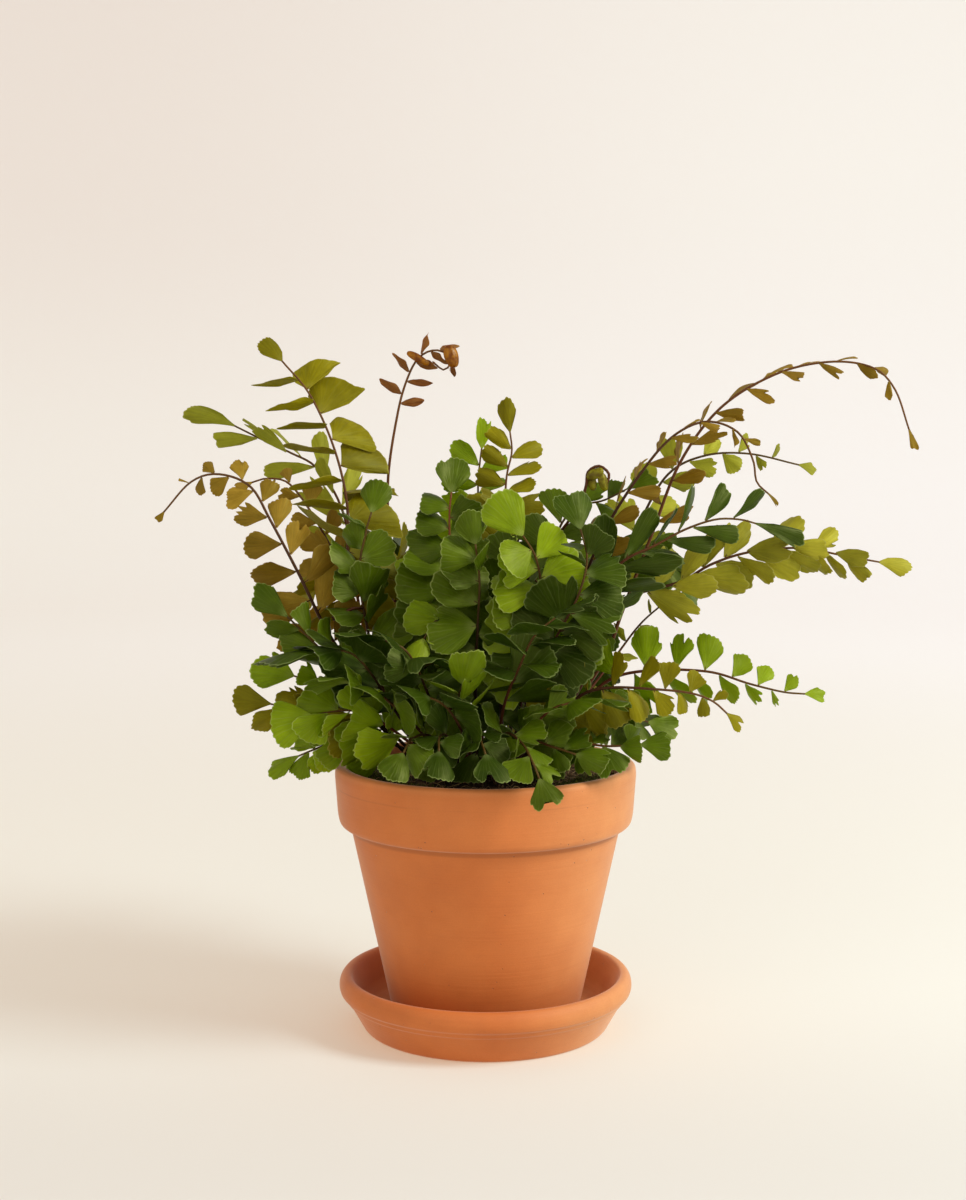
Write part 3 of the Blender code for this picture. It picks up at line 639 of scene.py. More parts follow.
class Heap:
    """Many small shapes that become one piece, with two numbers kept for each corner.

    Where a shape brings none, its own number in the heap is kept.
    """

    def __init__(self, kept="number"):
        self.kept = kept
        self.corners, self.faces, self.numbers = [], [], []
        self.count = 0

    def add(self, corners, faces, numbers=None):
        first = len(self.corners)
        self.corners += corners
        self.faces += [tuple(first + corner for corner in face) for face in faces]
        self.numbers += numbers or [(self.count + 0.5, 0)] * len(corners)
        self.count += 1

    def piece(self, name, smooth=True):
        made = new_piece(name, self.corners, self.faces, smooth)
        keep_numbers(made, self.kept, self.numbers)
        return made


print("a crumb has", len(crumb_shape(MM, 0)[1]), "faces")

# %% Crumbs
CRUMBS = 1500

chance = Random(23)
crumbs = Heap()
for k in range(CRUMBS):
    turn = chance.uniform(0, math.tau)
    radius = edge_radius * math.sqrt(chance.uniform(0.12, 0.985))
    size = (0.35 + 1.5 * chance.random() ** 4) * MM
    spot = on_soil(min(radius, edge_radius - size), turn, 0.25 * size)
    spin = Matrix.Rotation(chance.uniform(0, math.tau), 4, "Z")
    tilt = Matrix.Rotation(chance.uniform(-0.8, 0.8), 4, "X")
    corners, faces = crumb_shape(size, k)
    moved = Matrix.Translation(spot) @ spin @ tilt
    crumbs.add([moved @ corner for corner in corners], faces)
print(crumbs.count, "crumbs in the heap")

# %% [markdown]
# A fibre is a walk over the ground that keeps turning a little the same way and never leaves
# the pot. Moss is many short threads that stand up in four patches near the rim.

# %% Fibres and moss
FIBRES = 420
FIBRE_STEPS = 7
MOSS_THREADS = 2600
MOSS_BEARINGS = (200, 226, 318, 338)

fibres = Heap()
for k in range(FIBRES):
    turn = chance.uniform(0, math.tau)
    radius = edge_radius * math.sqrt(chance.uniform(0.18, 0.9))
    heading = chance.uniform(0, math.tau)
    stride = chance.uniform(4, 15) * MM / FIBRE_STEPS
    bend = chance.uniform(-1.6, 1.6) / FIBRE_STEPS
    rise = chance.uniform(0.2, 2.2) * MM
    x, y = radius * math.cos(turn), radius * math.sin(turn)
    points = []
    for step in range(FIBRE_STEPS + 1):
        out = math.hypot(x, y)
        if out > edge_radius - 0.6 * MM:
            x, y = (c * (edge_radius - 0.6 * MM) / out for c in (x, y))
        lift = 0.25 * MM + rise * math.sin(math.pi * step / FIBRE_STEPS)
        points.append(Vector((x, y, soil_height(x, y) + lift)))
        heading += bend
        x += math.cos(heading) * stride
        y += math.sin(heading) * stride
    fibres.add(*strand_shape(points, chance.uniform(0.1, 0.28) * MM, 4))

moss = Heap()
for k in range(MOSS_THREADS):
    turn = math.radians(chance.choice(MOSS_BEARINGS) + chance.gauss(0, 9))
    spot = on_soil(edge_radius * min(0.975, 0.84 + chance.gauss(0, 0.07)), turn)
    top = Vector((chance.gauss(0, 0.5), chance.gauss(0, 0.5), chance.uniform(1.2, 3.6))) * MM
    points = [spot + top * t for t in (-0.1, 0.4, 1.0)]
    moss.add(*strand_shape(points, chance.uniform(0.12, 0.3) * MM, 3))
soil_moss = moss.piece("soil_moss")
soil_crumbs = crumbs.piece("soil_crumbs", smooth=False)
soil_fibres = fibres.piece("soil_fibres")
print("all three have", triangles(soil_moss, soil_crumbs, soil_fibres), "triangles")

# %% [markdown]
# Wet peat is nearly black and dry fibres are straw-coloured. So the ground is dark with
# lighter patches, and each crumb, fibre and thread of moss picks its own colour from a short
# row of them, by the number that the heap gave it.

# %% Soil finishes
def soil_finish(name, dark, light, scale):
    soil = Finish(name, Roughness=0.95, Specular_IOR_Level=0.2)
    place = soil.place()
    patches = soil.noise(place, scale, 5.0, 0.65)
    grain = soil.noise(place, scale * 12, 3.0, 0.7)
    colour = soil.mix(patches.over(0.35, 0.7), dark, light)
    colour = soil.scaled(colour, grain.shifted(1.0))
    soil.wear(Base_Color=colour, Normal=soil.bump(grain, 0.5 * MM, 0.9))
    return soil


def litter_finish(name, colours, scale, roughness):
    """A finish for many small things, each with a colour of its own."""
    litter = Finish(name, Roughness=roughness, Specular_IOR_Level=0.3)
    number, _ = litter.map_of("number")
    pick = litter.chance(number.whole())
    colour = litter.ramp(colours, pick)
    grain = litter.noise(litter.place(), scale, 3.0, 0.6)
    litter.wear(Base_Color=litter.scaled(colour, grain.shifted(0.9)),
                Normal=litter.bump(grain, 0.3 * MM, 0.7))
    return litter


ground_finish = soil_finish("dark_peat", (0.04, 0.022, 0.009), (0.15, 0.088, 0.038), 160.0)
crumb_finish = litter_finish("peat_crumbs", [(0.035, 0.02, 0.011), (0.10, 0.058, 0.025),
                                             (0.17, 0.105, 0.048), (0.06, 0.035, 0.017),
                                             (0.28, 0.185, 0.085)], 900.0, 0.95)
fibre_finish = litter_finish("dry_fibres", [(0.09, 0.05, 0.025), (0.38, 0.24, 0.10),
                                            (0.14, 0.085, 0.04), (0.55, 0.38, 0.17),
                                            (0.22, 0.14, 0.06)], 700.0, 0.8)
moss_finish = litter_finish("moss", [(0.03, 0.035, 0.004), (0.10, 0.12, 0.012),
                                     (0.05, 0.05, 0.008), (0.17, 0.17, 0.02)], 800.0, 0.9)
for piece, finish in ((soil_ground, ground_finish), (soil_crumbs, crumb_finish),
                      (soil_fibres, fibre_finish), (soil_moss, moss_finish)):
    put(piece, finish, "soil", "potting_soil")
print("soil is finished")

# %% [markdown]
# ## Routes of the fronds
#
# Every frond grows from the crown on a thin stalk and carries leaflets in two rows. Fronds that
# make the plant's outline follow listed routes, each a few points in millimetres.
# The measured model has the same routes, so a leaflet made here lies just where its plain
# solid is.
#
# A frond is a name, a tone, a shape, the spot on the crown where it starts and the points it
# goes through. Then come the number of leaflets, the longest and the shortest, the bare share
# of the stalk, the way its leaflets face, and how far they lean out from the stalk.

# %% How a frond is written down
WIDTH = {"broad": 0.86, "fan": 1.0, "wedge": 0.7, "half": 0.7, "wing": 0.52, "strap": 0.38,
         "sliver": 0.4}
Frond = namedtuple("Frond", "name tone shape base via count big small bare face lean roll tip "
                            "light loose")
FRONT = (0.1, -1, 0.3)
FRONT_UP = (0.2, -0.8, 0.8)
BACK_UP = (0, 0.3, 1)
LIGHT = Vector((0.35, -0.5, 0.8))


def frond(name, tone, shape, base, via, count, big, small, bare=0.45, face=FRONT, lean=62,
          roll=(0, 0), tip=None, light=0.0, loose=0.1):
    lean = lean if isinstance(lean, tuple) else (lean, lean)
    return Frond(name, tone, shape, base, via, count, big, small, bare, face, lean, roll,
                 small if tip is None else tip, light, loose)


print("a leaflet's width goes from", min(WIDTH.values()), "to", max(WIDTH.values()),
      "of its length")

# %% [markdown]
# The routes start at the left side of the plant and go round to the right, then come the low
# fronds over the rim and the ones inside. Tall ones arch, low ones stay almost flat.

# %% Fronds of the outline
OUTLINE_FRONDS = [
    frond("tall_olive_frond", "olive", "half", (-22, -4), [(-57, -6, 183), (-66, -6, 206),
          (-70, -2, 242), (-71, 4, 272), (-78, 8, 300), (-90, 10, 326), (-104, 10, 343)],
          18, 33, 27, 0.38, (0.3, -1, 0.2), (72, 104), (50, -20), 15),
    frond("arching_bronze_frond", "bronze", "strap", (16, -3), [(39, -4, 191), (50, -8, 232),
          (61, -10, 259), (77, -12, 285), (93, -12, 304), (110, -12, 312), (126, -12, 307),
          (134, -12, 293), (136, -12, 282), (142, -12, 276)],
          16, 21, 8, 0.42, (-0.4, -0.5, 0.8), 36, (0, 10)),
    frond("tall_arching_frond", "bronze", "strap", (22, 3), [(45, 8, 165), (62, 12, 190),
          (71, 14, 214), (86, 14, 254), (100, 12, 291), (120, 8, 319), (147, 2, 336),
          (173, -4, 342), (194, -8, 339), (205, -10, 328), (212, -12, 308)],
          18, 22, 12, 0.42, (-0.25, -0.5, 1), 42, (0, 10), 11),
    frond("crosier_frond", "mahogany", "sliver", (-15, 6), [(-40, 10, 173), (-46, 18, 209),
          (-50, 24, 245), (-51, 28, 282), (-46, 30, 316), (-41, 30, 334), (-35, 28, 345),
          (-27, 24, 349), (-20, 22, 347), (-18, 24, 342), (-22, 28, 339), (-26, 31, 342)],
          10, 14, 10, 0.75, FRONT, 60, (0, 0), 3),
    frond("bronze_left_frond", "bronze", "wedge", (-24, -10), [(-59, -14, 177),
          (-78, -20, 205), (-93, -22, 236), (-107, -22, 263), (-117, -22, 280),
          (-133, -20, 286), (-147, -18, 282), (-161, -16, 267)], 18, 25, 6, 0.36, FRONT, 60),
    frond("bronze_inner_frond", "bronze", "wedge", (-20, 1), [(-55, 2, 180), (-69, 8, 210),
          (-76, 12, 238), (-88, 14, 262), (-101, 14, 280), (-112, 12, 283), (-120, 10, 281)],
          12, 25, 9, 0.42, FRONT, 60),
    frond("pale_left_frond", "pale", "strap", (-21, 8), [(-52, 12, 173), (-65, 24, 209),
          (-74, 30, 262), (-88, 34, 287), (-103, 36, 296), (-118, 36, 303), (-132, 36, 310)],
          14, 34, 24, 0.4, (0.2, -1, 0.6), 32, (0, 10), 28),
    frond("upright_olive_frond", "olive", "wing", (3, 12), [(9, 26, 198), (10, 36, 250),
          (11, 42, 281), (14, 44, 296), (13, 44, 307)],
          20, 27, 19, 0.36, FRONT, (76, 84), (-20, -20), 17),
    frond("upright_green_frond", "fresh", "wing", (-3, 15), [(-2, 36, 192), (-3, 54, 242),
          (-4, 58, 276), (-3, 60, 290), (-2, 60, 298)],
          18, 28, 21, 0.36, FRONT, (84, 72), (-20, -20), 17),
    frond("red_stalk_frond", "green", "broad", (-9, -8), [(-21, -18, 182), (-20, -20, 213),
          (-18, -22, 243), (-18, -22, 266), (-17, -20, 277)], 14, 27, 19, 0.44, FRONT, 72,
          light=0.8),
    frond("bright_fan_frond", "fresh", "fan", (9, -11), [(23, -24, 178), (27, -36, 215),
          (27, -42, 233), (24, -46, 247), (18, -48, 257)], 12, 30, 23, 0.44, FRONT, 68, light=0.8),
    frond("red_side_frond", "green", "wedge", (13, 2), [(27, 2, 190), (32, 6, 231),
          (38, 6, 258), (48, 4, 269), (60, 2, 272), (72, 0, 278)], 12, 25, 15, 0.42, FRONT_UP, 62,
          light=0.6),
    frond("light_rear_frond", "pale", "wedge", (18, 12), [(50, 30, 187), (68, 48, 222),
          (84, 58, 259), (99, 62, 284), (119, 64, 294), (143, 64, 295), (170, 64, 289)],
          14, 25, 10, 0.42, FRONT, 50),
    frond("strap_leaf_frond", "deep", "strap", (22, -8), [(44, -18, 203), (57, -26, 231),
          (69, -30, 244), (83, -32, 251), (98, -32, 259), (113, -32, 264), (125, -32, 264),
          (133, -32, 262)], 14, 31, 24, 0.42, FRONT, 26, (-20, 0), 27),
    frond("long_olive_frond", "olive", "wing", (20, -5), [(47, -6, 176), (58, -12, 207),
          (72, -16, 224), (97, -18, 232), (113, -18, 241), (132, -18, 247), (157, -18, 249),
          (180, -18, 245), (197, -18, 242)], 20, 26, 19, 0.47, FRONT, (32, 24), (0, 0), 17),
    frond("thin_side_frond", "pale", "sliver", (20, 16), [(51, 40, 164), (69, 52, 184),
          (84, 56, 203), (99, 58, 216)], 7, 13, 10, 0.45, FRONT, 66, (30, 0), 11),
    frond("olive_front_frond", "olive", "wedge", (14, -18), [(33, -34, 162), (46, -44, 178),
          (60, -50, 183), (80, -54, 183), (99, -54, 181), (110, -54, 177), (117, -54, 171)],
          14, 22, 11, 0.3, FRONT, 84),
    frond("green_right_frond", "fresh", "wedge", (18, -10), [(38, 2, 160), (57, 2, 179),
          (79, 0, 185), (110, -4, 185), (132, -6, 179), (150, -8, 175), (162, -8, 174)],
          14, 24, 11, 0.34, FRONT, (88, 64), (-20, 50)),
    frond("low_right_frond", "green", "fan", (20, -15), [(33, -20, 155), (50, -28, 166),
          (64, -30, 168), (81, -30, 163)], 12, 21, 16, 0.26, FRONT_UP, 70, light=0.5),
    frond("rim_right_frond", "green", "fan", (19, -21), [(30, -32, 150), (44, -48, 156),
          (58, -54, 155), (75, -56, 156)], 12, 20, 15, 0.26, FRONT_UP, 74, light=0.5),
    frond("bright_front_frond", "fresh", "broad", (-3, -24), [(-9, -50, 166), (-13, -66, 179),
          (-11, -74, 188)], 4, 22, 20, 0.62, FRONT, 74, (0, 0), 20),
    frond("broad_left_frond", "deep", "broad", (-20, -18), [(-43, -36, 167), (-55, -50, 189),
          (-65, -58, 201), (-78, -62, 203)], 8, 34, 29, 0.44, BACK_UP, 64, (0, 0), 32, 0.8),
    frond("small_left_frond", "green", "wedge", (-24, -14), [(-49, -22, 167),
          (-70, -30, 188), (-86, -32, 204), (-98, -32, 216)],
          10, 25, 20, 0.36, FRONT, 55, (0, 0), 21),
    frond("olive_low_left_frond", "olive", "wedge", (-25, -12), [(-53, -22, 162),
          (-72, -32, 171), (-89, -36, 169), (-106, -36, 173)], 12, 28, 20, 0.32, FRONT, 60),
    frond("rim_left_frond", "fresh", "wedge", (-25, -5), [(-48, -6, 148), (-68, -12, 153),
          (-83, -14, 148), (-95, -14, 143)], 12, 25, 18, 0.3, FRONT_UP, 56, light=0.5),
    frond("bright_low_left_frond", "fresh", "fan", (-18, -22), [(-47, -42, 162),
          (-60, -56, 172), (-73, -60, 173), (-83, -62, 171)], 10, 26, 21, 0.32, FRONT, 66),
    frond("front_rim_frond_1", "green", "fan", (-14, -26), [(-26, -52, 159), (-35, -68, 161),
          (-39, -80, 156)], 8, 20, 16, 0.2, FRONT, 66, light=0.4),
    frond("front_rim_frond_2", "deep", "fan", (-8, -28), [(-18, -54, 159), (-22, -70, 162),
          (-22, -81, 157)], 8, 21, 16, 0.2, FRONT, 66, light=0.4),
    frond("front_rim_frond_3", "deep", "fan", (0, -29), [(-6, -56, 160), (-3, -72, 162),
          (0, -83, 156)], 8, 20, 16, 0.2, FRONT, 66, light=0.4),
    frond("front_rim_frond_4", "green", "fan", (6, -27), [(9, -56, 161), (17, -74, 160),
          (22, -86, 153), (25, -91, 146)], 10, 20, 15, 0.2, FRONT, 60),
    frond("front_rim_frond_5", "green", "fan", (12, -25), [(21, -50, 156), (33, -64, 156),
          (43, -71, 154)], 8, 20, 16, 0.2, FRONT, 66, light=0.4),
    frond("dark_right_frond", "deep", "fan", (11, -15), [(22, -30, 174), (34, -44, 206),
          (44, -50, 226), (49, -50, 245), (46, -46, 260)], 16, 28, 20, 0.34, FRONT, 70, light=0.8),
    frond("dark_centre_frond", "deep", "fan", (4, -20), [(9, -48, 174), (16, -60, 194),
          (23, -66, 210), (33, -68, 219)], 12, 29, 23, 0.28, BACK_UP, 68, light=0.9),
    frond("dark_left_frond", "deep", "fan", (-11, -18), [(-26, -44, 174), (-33, -60, 194),
          (-39, -66, 204), (-48, -66, 208)], 12, 29, 23, 0.28, BACK_UP, 68, light=0.9),
    frond("mid_left_frond", "green", "broad", (-18, -9), [(-51, -16, 182), (-60, -20, 213),
          (-63, -20, 238), (-60, -20, 256), (-57, -18, 267)],
          14, 26, 18, 0.42, FRONT, 66, light=0.7),
    frond("low_left_inner_frond", "green", "fan", (-16, -24), [(-38, -44, 165), (-49, -58, 178),
          (-57, -66, 184), (-65, -70, 188)], 10, 25, 20, 0.32, BACK_UP, 66, light=0.8),
    frond("low_centre_frond", "deep", "fan", (-6, -26), [(-12, -52, 160), (-18, -66, 174),
          (-25, -74, 181), (-33, -78, 183)], 10, 24, 19, 0.28, BACK_UP, 66, light=0.8),
    frond("low_right_inner_frond", "green", "fan", (10, -22), [(22, -44, 160), (30, -56, 172),
          (39, -62, 177), (51, -64, 179)], 10, 24, 19, 0.3, BACK_UP, 66, light=0.8),
    frond("mid_centre_frond", "green", "broad", (-2, -16), [(-5, -30, 179), (-4, -40, 210),
          (-3, -46, 235), (-5, -50, 253)], 12, 28, 22, 0.38, FRONT, 68, light=0.8),
    frond("far_left_low_frond", "fresh", "fan", (-26, -8), [(-47, -24, 159), (-66, -30, 174),
          (-81, -34, 183), (-94, -36, 187)], 10, 26, 20, 0.32, FRONT, 62),
]
print(len(OUTLINE_FRONDS), "fronds with a route of their own")

# %% [markdown]
# The fronds in the middle stand almost upright, and those behind arch away to the rear. Nobody
# needs to place them one by one: the angle between one leaf and the next in many plants, about
# 137.5 degrees, spreads the middle ones evenly.

# %% Fronds by rule
HEART_COUNT = 6
BACK_COUNT = 9
BRIM = 137
ARCH_BASE = 6
BASE_SPREAD = 0.16
ARCH_STEPS = ((0.3, 0.45), (0.42, 0.75), (0.62, 0.96), (0.82, 1))
ARCH_FACE = Vector((0.25, -0.35, 1))
FACE_BACK = 0.4
ARCH_LEAN = 66
ARCH_LIGHT = 0.8
ARCH_LOOSE = 1.6
SMALL_SHARE = 0.8
HEART_TONES = ("green", "fresh", "green", "deep", "fresh", "green")
BACK_TONES = ("green", "deep", "green", "olive", "deep")


def arch(name, tone, shape, bearing, reach, height, drop, count, big, bare):
    """A frond that rises from the crown and arches out along a bearing, in millimetres."""
    out = Vector((math.cos(bearing), math.sin(bearing), 0))
    base = out * (ARCH_BASE + BASE_SPREAD * reach)
    via = [(out.x * reach * far, out.y * reach * far, BRIM + height * up)
           for far, up in ARCH_STEPS]
    via.append((out.x * reach, out.y * reach, BRIM + height - drop))
    return frond(name, tone, shape, (base.x, base.y), via, count, big, SMALL_SHARE * big, bare,
                 tuple(ARCH_FACE - FACE_BACK * out), ARCH_LEAN, light=ARCH_LIGHT, loose=ARCH_LOOSE)


def ruled_fronds():
    """The fronds that fill the heart of the plant, and the ones that arch out behind it."""
    made = []
    for k in range(HEART_COUNT):
        made.append(arch(f"heart_frond_{k + 1}", HEART_TONES[k], "broad", 0.7 + k * GOLDEN_TURN,
                         34 + 4 * k, 117 - 10 * k, 4 + k, 18, 26, 0.28 - 0.02 * k))
    for k in range(BACK_COUNT):
        bearing = math.radians(24 + 140 * k / (BACK_COUNT - 1))
        low = k % 2
        made.append(arch(f"back_frond_{k + 1}", BACK_TONES[k % 5], ("fan", "wedge")[low],
                         bearing, 108 - 16 * low, 108 - 52 * low, 14 + 6 * low, 14 + 4 * low,
                         29, 0.28 - 0.12 * low))
    return made


specs = OUTLINE_FRONDS + ruled_fronds()
print(len(specs), "fronds in all")

# %% [markdown]
# ## Finding room
#
# A smooth curve runs through a route's points, and a stalk is that curve with a frame that
# knows left, right and face at every length.

# %% Curves and stalks
STALK_THICK = 1.35 * MM
STALK_THIN = 0.55 * MM
CLEARANCE = 0.5 * MM
STEP_ALONG = 2 * MM


def between(a, b, c, d, t):
    """A place between b and c on a smooth curve through four places."""
    return 0.5 * (2 * b + (c - a) * t + (2 * a - 5 * b + 4 * c - d) * t * t
                  + (3 * b - a - 3 * c + d) * t ** 3)


class Path:
    """A smooth curve through a route's points, which knows where it is at any length."""

    def __init__(self, route):
        knots = [Vector(point) for point in route]
        ends = [2 * knots[0] - knots[1], *knots, 2 * knots[-1] - knots[-2]]
        dense = [knots[0]]
        for a, b, c, d in zip(ends, ends[1:], ends[2:], ends[3:]):
            steps = max(2, round((c - b).length / STEP_ALONG))
            dense += [between(a, b, c, d, step / steps) for step in range(1, steps + 1)]
        self.points = dense
        self.lengths = [0.0]
        for start, end in zip(dense, dense[1:]):
            self.lengths.append(self.lengths[-1] + (end - start).length)
        self.length = self.lengths[-1]

    def at(self, along):
        along = min(max(along, 0.0), self.length)
        k = 1
        while self.lengths[k] < along and k < len(self.lengths) - 1:
            k += 1
        share = (along - self.lengths[k - 1]) / (self.lengths[k] - self.lengths[k - 1])
        return self.points[k - 1].lerp(self.points[k], share)

    def along(self, where):
        """The direction of growth."""
        return (self.at(where + STEP_ALONG) - self.at(where - STEP_ALONG)).normalized()


def shell(sections):
    """Corners and faces of a closed shape that runs through sections of four corners."""
    corners = [corner for section in sections for corner in section]
    faces = [(0, 1, 2, 3), tuple(range(len(corners) - 4, len(corners)))]
    return corners, faces + bands(0, len(sections) - 1, 4)


class Stalk:
    """The stalk of a frond: a path with a frame that knows left, right and face."""

    def __init__(self, spec, shift):
        start = Vector(spec.base)
        route = [Vector((start.x, start.y, 0))]
        route += [Vector(point) for point in spec.via]
        last = len(route) - 1
        for k, point in enumerate(route):
            point.xy += shift * (1 + (spec.loose - 1) * k / last)
        inner_side = max(route[0].xy.length * MM - STALK_THICK, 0.0)
        route[0].z = (seat_height(inner_side) + GAP) / MM
        self.path = Path([point * MM for point in route])
        self.face = Vector(spec.face).normalized()
        self.length = self.path.length
        size = min(1.0, self.length / 0.2)
        self.thick = STALK_THICK * (0.7 + 0.3 * size)

    def radius(self, where):
        share = min(max(where / self.length, 0.0), 1.0)
        return self.thick + (STALK_THIN - self.thick) * share

    def frame(self, where):
        """Place, growth, right and face at a length along the stalk."""
        growth = self.path.along(where)
        right = growth.cross(self.face).normalized()
        return self.path.at(where), growth, right, right.cross(growth)

    def ring(self, where, spare):
        """Four corners at a length along the stalk. The foot's ring is level."""
        place, _, across, face = self.frame(where)
        size = self.radius(where) + spare
        corners = []
        for sideways, forward in ((-1, -1), (1, -1), (1, 1), (-1, 1)):
            corners.append(place + across * (sideways * size) + face * (forward * size))
        if where == 0:
            for corner in corners:
                corner.z = self.path.points[0].z
        return corners

    def guard(self):
        """A slightly fatter stalk, from the crown to the tip."""
        count = max(4, round(self.length / (8 * MM)))
        lengths = [self.length * k / count for k in range(count + 1)]
        return shell([self.ring(where, CLEARANCE) for where in lengths])


print("the longest stalk is", round(max(Stalk(spec, Vector((0, 0))).length for spec in specs), 3),
      "m long")

# %% [markdown]
# A leaflet has a foot, a midrib and a face. For finding room it is a plain plate, widest at
# two thirds of its length. Its guard is the same plate made slightly fatter.

# %% Plain leaflets
BLADE_THICK = 0.9 * MM
LEAF_FOOT = 1.7 * MM
WIDEST_AT = 0.68
WIDEST_RISE = 0.1
END_WIDTH = 0.6
END_RISE = 0.08


class Leaf:
    """One leaflet: foot, midrib direction, side that points up the stalk, face and size.

    root is how thick it is where it grows out of the stalk.
    """

    def __init__(self, foot, midrib, face, length, width, side, root):
        self.foot = foot
        self.root = root
        self.midrib = midrib
        self.face = (face - face.dot(midrib) * midrib).normalized()
        self.up = self.face.cross(midrib).normalized() * side
        self.length = length
        self.width = width
        self.side = side

    def section(self, share, width, thick, shift=0.0):
        """Four corners of the blade's section at a share of its length."""
        middle = self.foot + self.midrib * (share * self.length) + self.up * (shift * self.width)
        across = self.up * (width / 2)
        through = self.face * (thick / 2 * self.side)
        return [middle - across - through, middle - across + through,
                middle + across + through, middle + across - through]

    def guard(self, start=0.03):
        """A slightly fatter blade, which has to stay clear of everything."""
        thick = BLADE_THICK + 2 * CLEARANCE
        wide = self.width + CLEARANCE
        foot = LEAF_FOOT + (wide - LEAF_FOOT) * start / WIDEST_AT
        root = thick + (self.root - BLADE_THICK) * (1 - start / WIDEST_AT)
        return shell([self.section(start, foot + CLEARANCE, root, WIDEST_RISE * start),
                      self.section(WIDEST_AT, wide, thick, WIDEST_RISE),
                      self.section(1.02, END_WIDTH * wide + CLEARANCE, thick, END_RISE)])


print("a blade's guard is", (BLADE_THICK + 2 * CLEARANCE) / MM, "mm thick")

# %% [markdown]
# To find room, one has to know what is taken. A field keeps a search tree for every shape in
# it, so that asking whether a new one touches any of them stays quick. Boxes are compared
# first, because most shapes are nowhere near.

# %% What is already in place
def extent(corners):
    """The lowest and the highest numbers of some corners, in each direction."""
    return ([min(corner[i] for corner in corners) for i in range(3)],
            [max(corner[i] for corner in corners) for i in range(3)])


class Field:
    """Everything that is already in place, so that what comes next can stay clear of it."""

    def __init__(self):
        self.trees = []

    def add(self, shape, owner=None):
        self.trees.append((BVHTree.FromPolygons(*shape), *extent(shape[0]), owner))

    def hits(self, shape, but=None):
        low, high = extent(shape[0])
        tree = None
        for other, bottom, top, owner in self.trees:
            if owner is not None and owner == but:
                continue
            if any(low[i] > top[i] or bottom[i] > high[i] for i in range(3)):
                continue
            tree = tree or BVHTree.FromPolygons(*shape)
            if tree.overlap(other):
                return True
        return False


print("an empty field has", len(Field().trees), "shapes in it")

# %% [markdown]
# Real leaflets turn aside where others are in the way. So each one here is tried in several
# turns, lifts and sizes until its guard touches nothing that is already there. One that finds
# no room is left out, as on a real plant, where it would have withered in the dark.

# %% Find room for stalks and leaflets
STALK_TRIES = 260
SPIRAL_STEP = 0.85
LEAF_TRIES = 42
TIP_TRIES = 10
LEAF_LOSS = 0.013
TIP_LOSS = 0.08
SWINGS = (0, 14, -14, 28, -28)
TWISTS = (0, 22, -22, 44, -44, 60)
LIFTS = (0.0, 0.35, -0.35, 0.6)
FLAT_TRIES = 5
SIZE_SPREAD = (0.88, 1.08)
LEAN_SPREAD = 13
ROLL_SPREAD = 18
MOST_DROOP = 0.35
SWELL_START = 0.3
SWELL = 0.12
TAPER = 0.8
SHINGLE = 20
FOOT_LEAN = 8
TIP_LEAN = -16
LEAFY_END = 0.97
CLOSER = 0.92
STAGGER = 0.22


def place_stalk(spec, field):
    """The frond's stalk, moved aside in a widening spiral until it is clear."""
    for attempt in range(STALK_TRIES):
        turn = Vector((math.cos(attempt * GOLDEN_TURN), math.sin(attempt * GOLDEN_TURN)))
        stalk = Stalk(spec, turn * (SPIRAL_STEP * math.sqrt(attempt)))
        guard = stalk.guard()
        if not field.hits(guard):
            field.add(guard, spec.name)
            return stalk
    raise RuntimeError(f"{spec.name} finds no room for its stalk")


def leaf_stations(spec, stalk):
    """Pairs of lengths along the stalk where a left and a right leaflet grow."""
    pairs = max(1, spec.count // 2)
    start, end = spec.bare * stalk.length, LEAFY_END * stalk.length
    shift = STAGGER * ((end - start) / pairs)
    middles = [start + (end - start) * ((k + 0.35) / pairs) ** CLOSER for k in range(pairs)]
    return [(where + shift, where - shift) for where in middles]


def place_leaf(spec, stalk, field, where, side, share, seed):
    """One leaflet, turned, lifted or made smaller until it is clear of its neighbours."""
    random = Random(seed)
    place, growth, right, face = stalk.frame(where)
    swell = 1 - SWELL + SWELL * math.sin(math.pi * min(1.0, share + SWELL_START))
    length = (spec.small + (spec.big - spec.small) * (1 - share) ** TAPER) * swell * MM
    length *= random.uniform(*SIZE_SPREAD)
    lean = spec.lean[side > 0] + FOOT_LEAN + (TIP_LEAN - FOOT_LEAN) * share
    lean += random.uniform(-LEAN_SPREAD, LEAN_SPREAD)
    roll = (spec.roll[side > 0] + SHINGLE) * side + random.uniform(-ROLL_SPREAD, ROLL_SPREAD)
    droop = random.uniform(0.0, MOST_DROOP)
    lit = face.lerp(LIGHT, spec.light)
    foot = place + right * (side * stalk.radius(where))
    root = 2 * stalk.radius(where)
    for attempt in range(LEAF_TRIES):
        swing = SWINGS[attempt % len(SWINGS)]
        twist = TWISTS[attempt % len(TWISTS)]
        size = length * (1 - LEAF_LOSS * attempt)
        angle = math.radians(lean + swing)
        midrib = (growth * math.cos(angle) + right * (side * math.sin(angle))
                  + Vector((0, 0, -droop))).normalized()
        if attempt >= FLAT_TRIES:
            midrib = (midrib + face * LIFTS[attempt % len(LIFTS)]).normalized()
        turned = Matrix.Rotation(math.radians(roll + twist), 3, midrib) @ lit
        leaf = Leaf(foot, midrib, turned, size, size * WIDTH[spec.shape], side, root)
        if not field.hits(leaf.guard(), spec.name) and not field.hits(leaf.guard(0.3)):
            field.add(leaf.guard())
            return leaf
    return None


